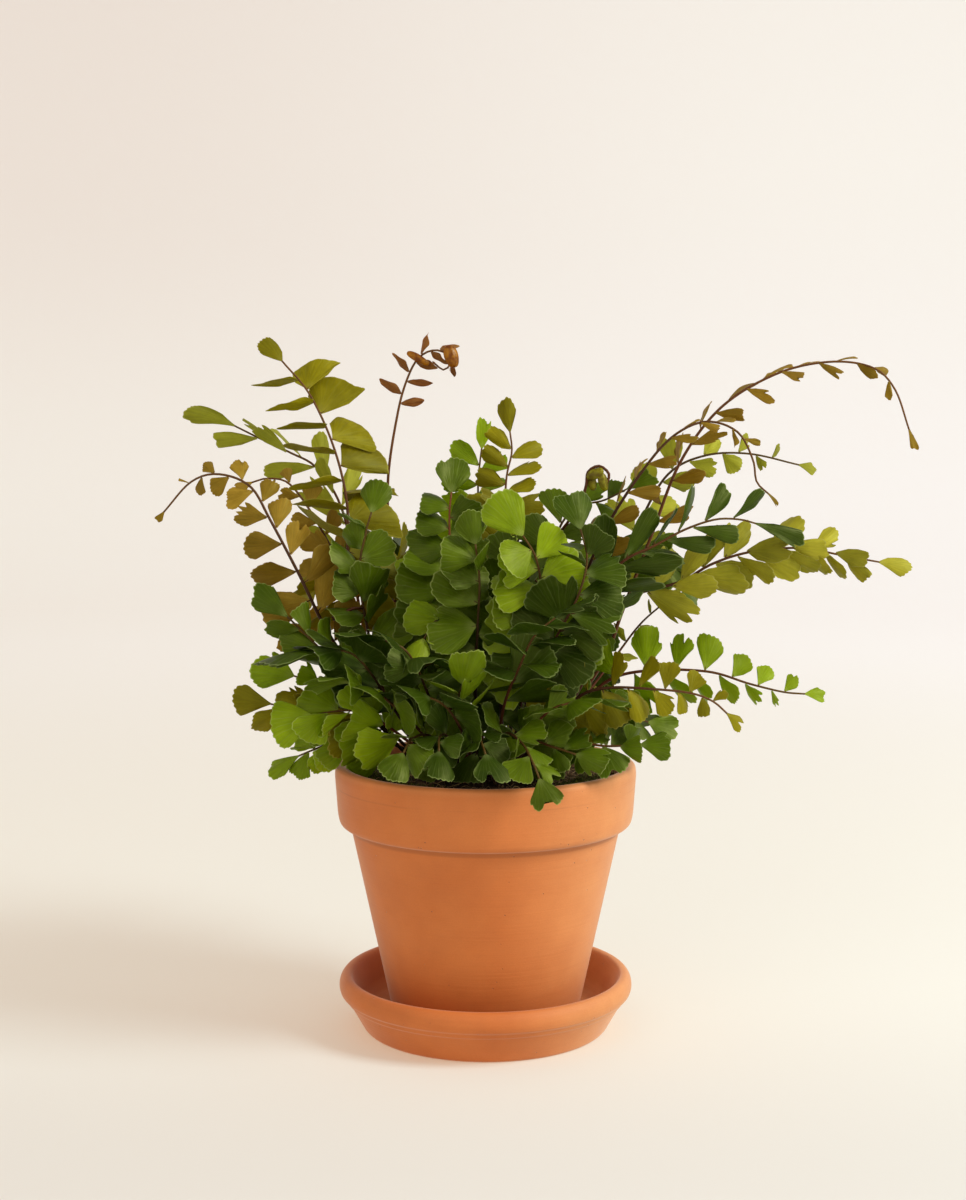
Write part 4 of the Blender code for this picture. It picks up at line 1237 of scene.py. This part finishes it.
def place_tip(spec, stalk, field):
    """The leaflet at the frond's end, or none if there is no room for it."""
    place, growth, _, face = stalk.frame(stalk.length)
    for attempt in range(TIP_TRIES):
        size = spec.tip * MM * (1 - TIP_LOSS * attempt)
        width = 0.9 * size * WIDTH[spec.shape]
        leaf = Leaf(place, growth, face, size, width, 1, 2 * STALK_THIN)
        if not field.hits(leaf.guard(), spec.name):
            field.add(leaf.guard())
            return leaf
    return None


print("a leaflet is tried up to", LEAF_TRIES, "times")

# %% [markdown]
# Pot and soil come first, as walls that nothing may cross. Then all the stalks find their
# places, and after them the leaflets, frond by frond.

# %% Lay out the fronds
FROND_SEEDS = 1000
GUARD_SIDES = 36
BAND_FOOT = 107.5 * MM


def lay_out(specs, obstacles):
    """Stalks first, then leaflets: a list of (frond, stalk, pairs of leaflets, tip)."""
    field = Field()
    for obstacle in obstacles:
        field.add(obstacle)
    stalks = [place_stalk(spec, field) for spec in specs]
    laid = []
    for number, (spec, stalk) in enumerate(zip(specs, stalks)):
        tip = place_tip(spec, stalk, field)
        stations = leaf_stations(spec, stalk)
        pairs = []
        for k, (left, right) in enumerate(stations):
            share = k / max(1, len(stations) - 1)
            seed = FROND_SEEDS * number + 2 * k
            pairs.append((left, right,
                          place_leaf(spec, stalk, field, left, -1, share, seed),
                          place_leaf(spec, stalk, field, right, 1, share, seed + 1)))
        laid.append((spec, stalk, pairs, tip))
    return laid


def turned_guard(profile):
    """Corners and faces of a turned wall, for the field of obstacles."""
    corners = [Vector((radius * x, radius * y, height))
               for radius, height in profile for x, y in circle(GUARD_SIDES)]
    return corners, bands(0, len(profile) - 1, GUARD_SIDES)


def leaves_of(laid):
    """A frond's leaflets, the one at its tip last."""
    _, _, pairs, tip = laid
    return [leaf for pair in pairs for leaf in pair[2:] if leaf] + ([tip] if tip else [])


pot_wall = [(73 * MM, BAND_FOOT - 1.2 * MM), (75.2 * MM, BAND_FOOT + 0.6 * MM),
            (75.9 * MM, BAND_FOOT + 3 * MM), (POT_RADIUS, POT_TOP - 4.5 * MM),
            (POT_RADIUS - 0.7 * MM, POT_TOP - 1.6 * MM), (POT_RADIUS - 2.4 * MM, POT_TOP),
            (POT_RADIUS - 5 * MM, POT_TOP - 0.2 * MM), (POT_RADIUS - WALL, POT_TOP - 2 * MM),
            (FOOT_RADIUS - 3.6 * MM, POT_FOOT + WALL)]
soil_guard = [(0.1 * MM, SOIL_TOP), (44 * MM, SOIL_TOP), (58 * MM, SOIL_EDGE + 1.4 * MM),
              (inner_radius(SOIL_EDGE) - 0.5 * MM, SOIL_EDGE)]
fronds = lay_out(specs, [turned_guard(pot_wall), turned_guard(soil_guard)])
print(sum(len(leaves_of(laid)) for laid in fronds), "leaflets have found room")

# %% [markdown]
# The measured model was made by the same steps, so each leaflet has to end inside its frond's
# measured box. This is checked before anything is built on it.

# %% Compare with the measured fronds
farthest = 0.0
for laid in fronds:
    low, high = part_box(laid[0].name)
    for leaf in leaves_of(laid):
        end = leaf.foot + leaf.midrib * leaf.length
        outside = max(max(l - c, c - h, 0.0) for l, c, h in zip(low, end, high))
        farthest = max(farthest, outside)
if farthest > 0.5 * MM:
    raise SystemExit(f"leaflets lie {farthest / MM:.1f} mm outside the measured fronds")
print(f"leaflets lie within {farthest / MM:.2f} mm of the measured fronds")

# %% [markdown]
# ## Leaflets
#
# A leaflet of this fern is a thin fan. It is narrow at its foot, its sides are nearly
# straight, and its far edge is a round of small scallops. Some are lopsided, with a fuller
# upper half. Each is built as a grid with one direction along the veins and the other across
# them, on a front and a back sheet a fraction of a millimetre apart, joined round the edge.
# The grid's own numbers are kept on the mesh, because veins and the pale edge follow them.

# %% Kinds of leaflet
# Each kind of blade has an edge through seven points, from its lower shoulder round the end to
# its upper one: how far along the midrib and how far up, as shares of the leaflet's length and
# width. hollow is above 1 where the sides are hollow, and below 1 where they bulge. Then come
# the number of teeth, their depth, and how often an edge is cleft.
LeafKind = namedtuple("LeafKind", "edge hollow teeth tooth cleft")
LEAF_KINDS = {
    "fan": LeafKind(((0.30, -0.34), (0.63, -0.56), (0.91, -0.42), (1.0, 0.02), (0.92, 0.44),
                     (0.65, 0.58), (0.30, 0.36)), 1.0, 14, 0.05, 0.45),
    "broad": LeafKind(((0.24, -0.36), (0.56, -0.56), (0.89, -0.42), (1.0, 0.04), (0.87, 0.47),
                       (0.52, 0.62), (0.22, 0.40)), 0.92, 13, 0.05, 0.35),
    "wedge": LeafKind(((0.44, -0.30), (0.74, -0.50), (0.96, -0.33), (1.0, 0.08), (0.89, 0.45),
                       (0.62, 0.60), (0.34, 0.40)), 1.05, 12, 0.05, 0.4),
    "wing": LeafKind(((0.30, -0.34), (0.66, -0.56), (0.93, -0.40), (1.0, 0.04), (0.93, 0.44),
                      (0.62, 0.58), (0.28, 0.40)), 0.95, 9, 0.05, 0.35),
    "sickle": LeafKind(((0.36, -0.12), (0.74, -0.13), (1.0, -0.03), (0.82, 0.17), (0.52, 0.28),
                        (0.22, 0.29), (0.02, 0.17)), 0.9, 12, 0.015, 0.05),
    "half": LeafKind(((0.55, -0.16), (0.93, -0.18), (1.0, -0.06), (0.90, 0.30), (0.60, 0.68),
                      (0.22, 0.82), (-0.02, 0.50)), 0.9, 14, 0.018, 0.1),
    "strap": LeafKind(((0.30, -0.30), (0.66, -0.50), (0.93, -0.42), (1.0, 0.0), (0.94, 0.42),
                       (0.68, 0.52), (0.30, 0.32)), 1.1, 9, 0.03, 0.45),
    "sliver": LeafKind(((0.22, -0.36), (0.5, -0.48), (0.82, -0.26), (1.0, 0.0), (0.82, 0.26),
                        (0.5, 0.5), (0.22, 0.36)), 0.9, 4, 0.0, 0.0),
}
print("kinds:", ", ".join(LEAF_KINDS))

# %% [markdown]
# No two leaflets are alike. Each draws its own number of teeth, a few clefts, a cup, a droop,
# a twist and a ripple. Rows run across the blade from its foot to its edge; the last two are
# finer, because they carry the teeth.

# %% Middle sheet of a leaflet
COLUMNS = 14
TEETH_COLUMNS = 42
INNER_ROWS = (0.0, 0.07, 0.18, 0.34, 0.52, 0.7, 0.85)
EDGE_ROWS = (0.95, 1.0)
MOST_CLEFTS = 3
CLEFT_WIDTH = 0.04


def curve_through(points, shares):
    """A smooth curve through some points, at shares of the way from the first to the last."""
    points = np.array(points)
    knots = np.vstack([2 * points[0] - points[1], points, 2 * points[-1] - points[-2]])
    spot = np.clip(shares, 0, 1) * (len(points) - 1)
    k = np.minimum(spot.astype(int), len(points) - 2)
    return between(*(knots[k + i] for i in range(4)), (spot - k)[:, None])


def blade_rows(leaf, kind, chance):
    """The middle sheet of a blade in its own directions: one array of points for each row."""
    jitter = np.array([[chance.gauss(0, 0.03), chance.gauss(0, 0.03)] for _ in kind.edge])
    edge = np.array(kind.edge) + jitter
    teeth = kind.teeth * chance.uniform(0.85, 1.2)
    phase = chance.uniform(0, 1)
    clefts = []
    while len(clefts) < MOST_CLEFTS and chance.random() < kind.cleft:
        clefts.append((chance.uniform(0.07, 0.32), chance.uniform(0.24, 0.76)))
    wide_swell, fine_swell = (chance.gauss(0, 0.03) for _ in range(2))
    turn = chance.uniform(0, math.tau)
    cup = chance.uniform(-0.5, 0.12) * leaf.width
    droop = chance.uniform(-0.28, 0.02) * leaf.length
    twist = chance.uniform(-0.4, 0.4)
    ripple = chance.uniform(0.5, 1.4) * 0.03 * leaf.length
    waves = chance.uniform(1.3, 3.4)
    rows = []
    for t in INNER_ROWS + EDGE_ROWS:
        s = np.linspace(0, 1, (TEETH_COLUMNS if t in EDGE_ROWS else COLUMNS) + 1)
        reach = curve_through(edge, s)
        scallop = np.abs(np.sin((s * teeth + phase) * math.pi)) - 0.6
        grow = 1 + kind.tooth * (scallop * np.sin(s * math.pi) ** 0.5) * t ** 8
        grow += (wide_swell * np.sin(s * 9.4 + turn) * t ** 3
                 + fine_swell * np.sin(s * 19 - turn) * t ** 4)
        for depth, spot in clefts:
            grow -= depth * t ** 4 * np.exp(-((s - spot) / CLEFT_WIDTH) ** 2)
        wave = np.sin((2 * s - 1) * math.pi * waves + turn)
        along = leaf.length * t * reach[:, 0] * grow
        foot = 0.28 * LEAF_FOOT * (2 * s - 1) * (1 - t)
        across = leaf.width * t ** kind.hollow * reach[:, 1] * grow + foot
        out = (2 * cup * (across / leaf.width) ** 2 + droop * (along / leaf.length) ** 2
               + twist * across * t + ripple * t ** 3 * wave)
        rows.append(np.stack([along, across, out], 1))
    return rows


print("a sheet has", len(INNER_ROWS + EDGE_ROWS), "rows")

# %% [markdown]
# The faces are the same for every leaflet, so they are written down once: a front, a back
# with its faces the other way round, and the thin rim that joins them.

# %% Faces of a leaflet
LEAF_THICK = 0.26 * MM


def strip(start, columns):
    """Faces between two rows of a sheet."""
    pairs = [(start + k, start + k + columns + 1) for k in range(columns)]
    return [(a, b, b + 1, a + 1) for a, b in pairs]


def sheet_faces():
    """Faces of one side of a blade, from its rows; the teeth have more columns than the rest."""
    inner, finer = COLUMNS + 1, TEETH_COLUMNS // COLUMNS
    start = (len(INNER_ROWS) - 1) * inner
    edge = start + inner
    faces = [face for row in range(0, start, inner) for face in strip(row, COLUMNS)]
    for k in range(COLUMNS):
        fine = [edge + finer * k + i for i in range(finer + 1)]
        faces.append((start + k, *fine, start + k + 1))
    return faces + strip(edge, TEETH_COLUMNS)


def leaf_faces():
    """Faces of both sides of a leaflet and of the thin rim between them."""
    inner, outer = COLUMNS + 1, TEETH_COLUMNS + 1
    last = len(INNER_ROWS) * inner
    size = last + len(EDGE_ROWS) * outer
    low = [row * inner for row in range(len(INNER_ROWS))] + [last]
    high = [corner + COLUMNS for corner in low[:-1]] + [last + TEETH_COLUMNS]
    loop = low + list(range(last + outer, size)) + high[::-1] + list(range(COLUMNS - 1, 0, -1))
    rim = [(a, a + size, b + size, b) for a, b in zip(loop, loop[1:] + loop[:1])]
    front = sheet_faces()
    back = [tuple(corner + size for corner in face[::-1]) for face in front]
    return front + back + rim


LEAF_FACES = leaf_faces()
LEAF_MAP = np.concatenate([np.stack([np.linspace(0.01, 0.99, count + 1), np.full(count + 1, t)], 1)
                           for rows, count in ((INNER_ROWS, COLUMNS), (EDGE_ROWS, TEETH_COLUMNS))
                           for t in rows])


def leaflet(leaf, kind, chance):
    """Corners of one leaflet: its front and its back sheet."""
    middle = np.concatenate(blade_rows(leaf, kind, chance))
    share = LEAF_MAP[:, 1:]
    thin = LEAF_THICK / 2 * (1 - 0.5 * share)
    axes = np.array([leaf.midrib, leaf.up, leaf.face])
    lift = np.array([[0, 0, 1]])
    sheets = [middle + way * thin * lift for way in (1, -1)]
    return np.array(leaf.foot) + np.concatenate(sheets) @ axes


print(len(LEAF_FACES), "faces for each leaflet")

# %% [markdown]
# All the leaflets of a frond become one piece. The map on it keeps two numbers for each
# corner: the leaflet's own number plus how far across it lies, and how far out along it.

# %% Put a frond's leaflets together
LEAF_SEED = 500
FROND_NUMBER = 32
FOLD_ANGLE = math.radians(50)


def frond_blades(number, laid):
    """All the leaflets of a frond as one piece."""
    spec, *_, tip = laid
    chance = Random(LEAF_SEED + number)
    leaves = Heap("leaf")
    for k, leaf in enumerate(leaves_of(laid)):
        kind = spec.shape
        if kind == "half":
            kind = "fan" if leaf is tip else "half" if leaf.side > 0 else "sickle"
        faces = LEAF_FACES if leaf.side > 0 else [face[::-1] for face in LEAF_FACES]
        numbers = np.tile(LEAF_MAP + [FROND_NUMBER * number + k, 0], (2, 1))
        leaves.add(leaflet(leaf, LEAF_KINDS[kind], chance).tolist(), faces, numbers.tolist())
    blade = leaves.piece(f"{spec.name}_leaflets")
    blade.data.set_sharp_from_angle(angle=FOLD_ANGLE)
    return blade


blades = [frond_blades(k, laid) for k, laid in enumerate(fronds)]
print("leaflets have", triangles(*blades), "triangles")

# %% [markdown]
# ## Finish of the leaflets
#
# A leaflet is lit from both sides: part of the light goes through it and comes out yellower.
# So its finish mixes a satin surface with a translucent one. Veins fan out from the foot and
# fork, and the far edge is a thin pale line. The map that was kept on the mesh gives all of
# them: its whole number tells which leaflet it is, and what follows the point tells where on
# it. Young growth is bright, ripe growth is dark, and shoots are bronze or red.

# %% Tones
LeafTone = namedtuple("LeafTone", "deep light edge through gloss")
LEAF_TONES = {
    "deep": LeafTone((0.014, 0.034, 0.001), (0.050, 0.088, 0.002), (0.33, 0.42, 0.13),
                     (0.10, 0.18, 0.001), 0.40),
    "green": LeafTone((0.038, 0.069, 0.001), (0.106, 0.164, 0.002), (0.40, 0.48, 0.14),
                      (0.26, 0.38, 0.002), 0.39),
    "fresh": LeafTone((0.140, 0.212, 0.001), (0.275, 0.375, 0.006), (0.52, 0.60, 0.17),
                      (0.52, 0.69, 0.003), 0.41),
    "olive": LeafTone((0.145, 0.13, 0.001), (0.275, 0.245, 0.003), (0.46, 0.42, 0.08),
                      (0.53, 0.45, 0.002), 0.46),
    # A paler copy of olive: painted light for the long frond where the main lamp falls on it.
    "sunlit": LeafTone((0.21, 0.205, 0.008), (0.42, 0.40, 0.035), (0.50, 0.48, 0.13),
                       (0.66, 0.60, 0.02), 0.45),
    "pale": LeafTone((0.22, 0.23, 0.010), (0.42, 0.43, 0.040), (0.50, 0.50, 0.13),
                     (0.58, 0.58, 0.04), 0.48),
    "bronze": LeafTone((0.18, 0.12, 0.006), (0.36, 0.235, 0.03), (0.44, 0.31, 0.08),
                       (0.60, 0.38, 0.015), 0.48),
    "mahogany": LeafTone((0.17, 0.065, 0.018), (0.33, 0.145, 0.045), (0.38, 0.2, 0.08),
                         (0.6, 0.24, 0.03), 0.4),
}
print("tones:", ", ".join(LEAF_TONES))

# %% [markdown]
# Colour varies at three scales: from leaflet to leaflet, in clouds of a few millimetres, and
# in fine ribs along the veins. The ribs and clouds also lift the surface a little, so that
# the light breaks on it.

# %% Leaf finish
def leaf_finish(name, tone):
    leaf = Finish(f"{name}_leaf", Specular_IOR_Level=0.38, Specular_Tint=(0.88, 1.0, 0.3, 1.0))
    u, v = leaf.map_of("leaf")
    pick = leaf.chance(u.whole())
    second = leaf.chance(u.whole() + 0.37)
    across = u.part() - 0.5
    place = leaf.place()
    clouds = leaf.noise(place, 120.0, 2.0, 0.6)
    fan = leaf.node("CombineXYZ", {}, {0: across * 24, 1: v * 1.6, 2: u.whole() * 0.71})
    ribs = leaf.noise(fan, 1.0, 2.0, 0.6)
    wobble = across + (clouds - 0.5) * 0.05
    main = ((wobble * 13).part() - 0.5).size()
    forks = ((wobble * 26).part() - 0.5).size()
    vein = main.over(0.4, 0.5) * 0.7 + forks.over(0.4, 0.5) * v.over(0.4, 0.75) * 0.6
    colour = leaf.mix(clouds.over(0.25, 0.75) * 0.45 + pick * 0.55, tone.deep, tone.light)
    colour = leaf.mix(vein * 0.2, colour, tone.edge)
    colour = leaf.mix((1 - v.over(0.02, 0.3)) * 0.3, colour, tone.edge)
    rim = v.over(0.972, 0.988) + across.size().over(0.478, 0.49) * v.over(0.3, 0.8) * 0.8
    colour = leaf.scaled(colour, second.shifted(0.6) * ribs.shifted(0.6))
    colour = leaf.mix(rim * 0.55, colour, tone.edge)
    relief = ribs * 0.8 + clouds * 0.9
    normal = leaf.bump(relief, 0.4 * MM, 0.7)
    leaf.wear(Base_Color=colour, Roughness=(clouds - 0.5) * 0.15 + tone.gloss, Normal=normal)
    through = leaf.mix(vein * 0.35 + (1 - ribs.over(0.3, 0.6)) * 0.25, tone.through,
                       leaf.scaled(tone.through, 0.55))
    leaf.let_light_through(0.38, Color=through, Normal=normal)
    return leaf


leaf_finishes = {name: leaf_finish(name, tone) for name, tone in LEAF_TONES.items()}
for (spec, *_), blade in zip(fronds, blades):
    # The long olive frond wears the paler copy of olive, as painted light.
    tone = "sunlit" if spec.name == "long_olive_frond" else spec.tone
    put(blade, leaf_finishes[tone], f"{spec.tone}_leaf", spec.name)
print(len(leaf_finishes), "leaf finishes")

# %% [markdown]
# ## Stalks
#
# Stalks are round, wiry and dark, purple-brown with a satin gloss, and they turn lighter
# towards a young tip. Short stems join the leaflets to them. A tube with a ring every few
# millimetres follows each curve, and gets thinner to the tip as the measured one does.

# %% Stalks and stems
RING_EVERY = 3 * MM
STALK_SIDES = 10
STEM_SIDES = 6
SLIMMER = 0.85
STEM_SHARES = (0, 0.35, 0.7, 1)


def tube(places, radii, sides, shares, number=0):
    """A closed tube through some places, which keeps a number and the share along it."""
    corners, numbers = [], []
    side = (places[1] - places[0]).orthogonal().normalized()
    for k, (place, radius) in enumerate(zip(places, radii)):
        ahead = heading_at(places, k)
        side = (side - side.dot(ahead) * ahead).normalized()
        corners += ring_round(place, ahead, side, radius, sides)
        numbers += [(number + 0.5, shares[k])] * sides
    return corners, closed_tube(len(places), sides), numbers


def frond_stalk(number, laid):
    """A frond's stalk with the short stems of its leaflets."""
    spec, stalk, pairs, _ = laid
    count = round(stalk.length / RING_EVERY)
    lengths = [stalk.length * k / count for k in range(count + 1)]
    wood = Heap("stalk")
    wood.add(*tube([stalk.path.at(where) for where in lengths],
                   [SLIMMER * stalk.radius(where) for where in lengths], STALK_SIDES,
                   [where / stalk.length for where in lengths], number))
    for left, right, *leaves in pairs:
        for where, leaf in zip((left, right), leaves):
            if leaf:
                start = stalk.path.at(where)
                end = leaf.foot + leaf.midrib * (0.1 * leaf.length)
                thick = 0.45 * stalk.radius(where)
                wood.add(*tube([start.lerp(end, t) for t in STEM_SHARES],
                               [thick, thick * 0.85, thick * 0.7, 0.12 * MM], STEM_SIDES,
                               [where / stalk.length] * 4, number))
    return wood.piece(f"{spec.name}_stalk")


stalks = [frond_stalk(k, laid) for k, laid in enumerate(fronds)]
print("stalks have", triangles(*stalks), "triangles")

# %% [markdown]
# Some stalks are nearly black and some are mahogany red, so each picks its own place between
# the two. Fine streaks run along the grain.

# %% Stalk finish
def stalk_finish(name, dark, red, young):
    wood = Finish(name, Specular_IOR_Level=0.2, Specular_Tint=(1.0, 0.75, 0.55, 1.0))
    u, v = wood.map_of("stalk")
    pick = wood.chance(u.whole())
    place = wood.place()
    streaks = wood.noise(place, 700.0, 2.0, 0.6, stretch=(1.0, 1.0, 0.12))
    colour = wood.mix(pick.over(0.3, 0.9) * 0.8, dark, red)
    colour = wood.mix(v.over(0.5, 1.0) * 0.8, colour, young)
    colour = wood.scaled(colour, streaks.shifted(0.8))
    wood.wear(Base_Color=colour, Roughness=(streaks - 0.5) * 0.2 + 0.42,
              Normal=wood.bump(streaks, 0.12 * MM, 0.5))
    return wood


green_stalk = stalk_finish("wiry_stalk", (0.02, 0.009, 0.004), (0.11, 0.03, 0.011),
                           (0.09, 0.055, 0.01))
bronze_stalk = stalk_finish("young_stalk", (0.04, 0.014, 0.006), (0.13, 0.045, 0.015),
                            (0.13, 0.06, 0.016))
red_stalk = stalk_finish("red_stalk", (0.13, 0.03, 0.014), (0.2, 0.048, 0.022),
                         (0.14, 0.05, 0.015))
for (spec, *_), stalk in zip(fronds, stalks):
    young = spec.tone in ("bronze", "mahogany", "olive")
    wood = bronze_stalk if young else green_stalk
    put(stalk, red_stalk if spec.name == "red_stalk_frond" else wood, "stalk", spec.name)
print("stalks are finished")

# %% [markdown]
# ## Young shoots
#
# A frond of this fern unrolls from a coil. Two are still at it: the mahogany one holds a
# glossy rolled blade in its crook, and a smaller coil peeps out of the leaves on the right. A
# rolled blade is a furrowed bud with a few loose flaps. On the left an old broken stalk has
# left a short blunt stub.

# %% Rolled blades
BUD_RINGS = 16
BUD_SIDES = 28


def rolled_blade(spot, wide, tall, heading):
    """Corners and faces of a closed furrowed bud: a blade rolled round its own end."""
    turn = Vector((0, 0, 1)).rotation_difference(heading)
    corners = []
    for i in range(BUD_RINGS + 1):
        t = i / BUD_RINGS
        girth = math.sin(math.pi * (0.02 + 0.96 * t)) ** 0.8
        for k, (x, y) in enumerate(circle(BUD_SIDES)):
            angle = math.tau * k / BUD_SIDES
            furrow = 1 + 0.07 * math.sin(2 * angle + 6 * t) + 0.05 * math.sin(5 * angle - 4 * t)
            corners.append(spot + turn @ Vector((wide * girth * furrow * x,
                                                 0.75 * wide * girth * furrow * y,
                                                 -tall * math.cos(math.pi * t))))
    return corners, closed_tube(BUD_RINGS + 1, BUD_SIDES)


def buds(name, shapes):
    """One piece from some rolled blades: where each is, its size in millimetres, its heading."""
    rolled = Heap()
    for spot, wide, tall, heading in shapes:
        rolled.add(*rolled_blade(spot, wide * MM, tall * MM, Vector(heading).normalized()))
    return rolled.piece(name)


def shoot_finish(name, light, dark, through):
    """A young blade: translucent, glossy and unevenly tanned."""
    skin = Finish(name, Specular_IOR_Level=0.35, Specular_Tint=(1.0, 0.85, 0.4, 1.0),
                  Coat_Weight=0.15, Coat_Roughness=0.15)
    place = skin.place()
    clouds = skin.noise(place, 300.0, 3.0, 0.6)
    grain = skin.noise(place, 1100.0, 2.0, 0.6)
    colour = skin.mix(clouds.over(0.35, 0.65), dark, light)
    skin.wear(Base_Color=skin.scaled(colour, grain.shifted(0.5)), Roughness=0.3 + grain * 0.15,
              Normal=skin.bump(clouds + grain * 0.3, 0.4 * MM, 0.7))
    skin.let_light_through(0.3, Color=through)
    return skin


print("a bud has", BUD_RINGS, "rings of", BUD_SIDES)

# %% [markdown]
# Buds and coils hang from places on the fronds, a few millimetres aside. So a helper finds a
# place along a frond, and another steps away from it.

# %% Shoots in their places
def along_frond(name, share):
    """The place at a share of a frond's length."""
    path = next(laid[1].path for laid in fronds if laid[0].name == name)
    return path.at(share * path.length)


def moved(start, *shifts):
    """Places at some shifts from a start, in millimetres."""
    return [start + Vector(shift) * MM for shift in shifts]


def short_stalk(name, places, thick):
    wood = Heap("stalk")
    wood.add(*tube(places, [size * MM for size in thick], 8, [0.0] * len(places)))
    return wood.piece(name)


bud_at, = moved(along_frond("crosier_frond", 0.93), (2, -2, -1))
flap_at, = moved(along_frond("crosier_frond", 0.88), (-4, -1, -3))
curl = buds("rolled_blade", [(bud_at, 3.6, 6, (0.35, 0, -1)), (flap_at, 2, 6.5, (1, 0, -0.55))])
put(curl, shoot_finish("tanned_blade", (0.36, 0.15, 0.006), (0.11, 0.03, 0.004),
                       (0.75, 0.30, 0.005)), "mahogany_leaf", "crosier_frond")

root = along_frond("red_side_frond", 0.72)
coil_at, = moved(root, (20, -16, 29))
bend = moved(root, (0, 0, 0), (5, -9, 7), (11, -14, 17))
bend += moved(coil_at, (-6, 0, -3), (-5, 0, 4), (0.5, 0, 7), (5.5, 0, 3), (4, 0, -3))
bend = Path(bend).points
young_coil = short_stalk("young_coil", bend, [0.75] * len(bend))
put(young_coil, bronze_stalk, "stalk", "red_side_frond")
bud_places = moved(coil_at, (-1.5, -1, 3), (2.5, -0.5, -1), (-3, 0.5, -1))
young_curl = buds("young_rolled_blades", [(bud_places[0], 2.6, 4.6, (0.9, 0, 0.5)),
                                          (bud_places[1], 2.4, 4.8, (0.3, 0, -1)),
                                          (bud_places[2], 2.2, 4.4, (-0.2, 0, 1))])
put(young_curl, shoot_finish("green_shoot", (0.26, 0.25, 0.008), (0.10, 0.07, 0.006),
                             (0.5, 0.45, 0.005)), "green_leaf", "red_side_frond")

stub_line = moved(along_frond("mid_left_frond", 0.66),
                  (0, 0, 0), (-5, -3, 0), (-10, -5, -2), (-15, -6, -5))
put(short_stalk("old_stub", stub_line, [0.7, 0.8, 0.95, 1.25]), green_stalk, "stalk",
    "mid_left_frond")
print("young shoots have", triangles(curl, young_curl), "triangles")

# %% [markdown]
# ## Crown
#
# The stock at the middle is short and scaly, with the stumps of older stalks. It shows only
# as a dark knot between the stalks, so a low mound covered in pointed scales does well.

# %% Crown
SCALES = 420
MOUND_SHARES = (1, 0.97, 0.93, 0.87, 0.8, 0.7, 0.6, 0.45, 0.3, 0.15, 0)

scales = Heap()
chance = Random(37)
for k in range(SCALES):
    radius = math.sqrt((k + 0.5) / SCALES) * (CROWN_RADIUS - 1.2 * MM)
    out = Vector((math.cos(k * GOLDEN_TURN), math.sin(k * GOLDEN_TURN), 0))
    spot = radius * out + Vector((0, 0, seat_height(radius)))
    length = chance.uniform(2.5, 5) * MM
    heading = (out * chance.uniform(0.2, 0.8) + Vector((0, 0, 1))).normalized()
    points = [spot + heading * (length * t) - out * (0.2 * length * t * t)
              for t in (-0.3, 0, 0.35, 0.7, 1)]
    scales.add(*strand_shape(points, chance.uniform(0.35, 0.9) * MM, 5))
mound_profile = [(0, SOIL_TOP - 1 * MM), (CROWN_RADIUS, SOIL_TOP - 1 * MM)]
mound_profile += [(share * CROWN_RADIUS, seat_height(share * CROWN_RADIUS) - 0.3 * MM)
                  for share in MOUND_SHARES]
crown_mound = turned("crown_mound", mound_profile, 72)
crown_scales = scales.piece("crown_scales")
mound_finish = soil_finish("crown_bark", (0.02, 0.011, 0.007), (0.06, 0.035, 0.018), 240.0)
scale_finish = litter_finish("crown_scale", [(0.03, 0.016, 0.01), (0.1, 0.05, 0.025),
                                             (0.045, 0.025, 0.014), (0.13, 0.075, 0.035)],
                             800.0, 0.7)
put(crown_mound, mound_finish, "stalk", "crown")
put(crown_scales, scale_finish, "stalk", "crown")
print("crown has", triangles(crown_scales), "triangles of scales")

# %% [markdown]
# ## Size
#
# What was dressed has to stay the size of the measured model.
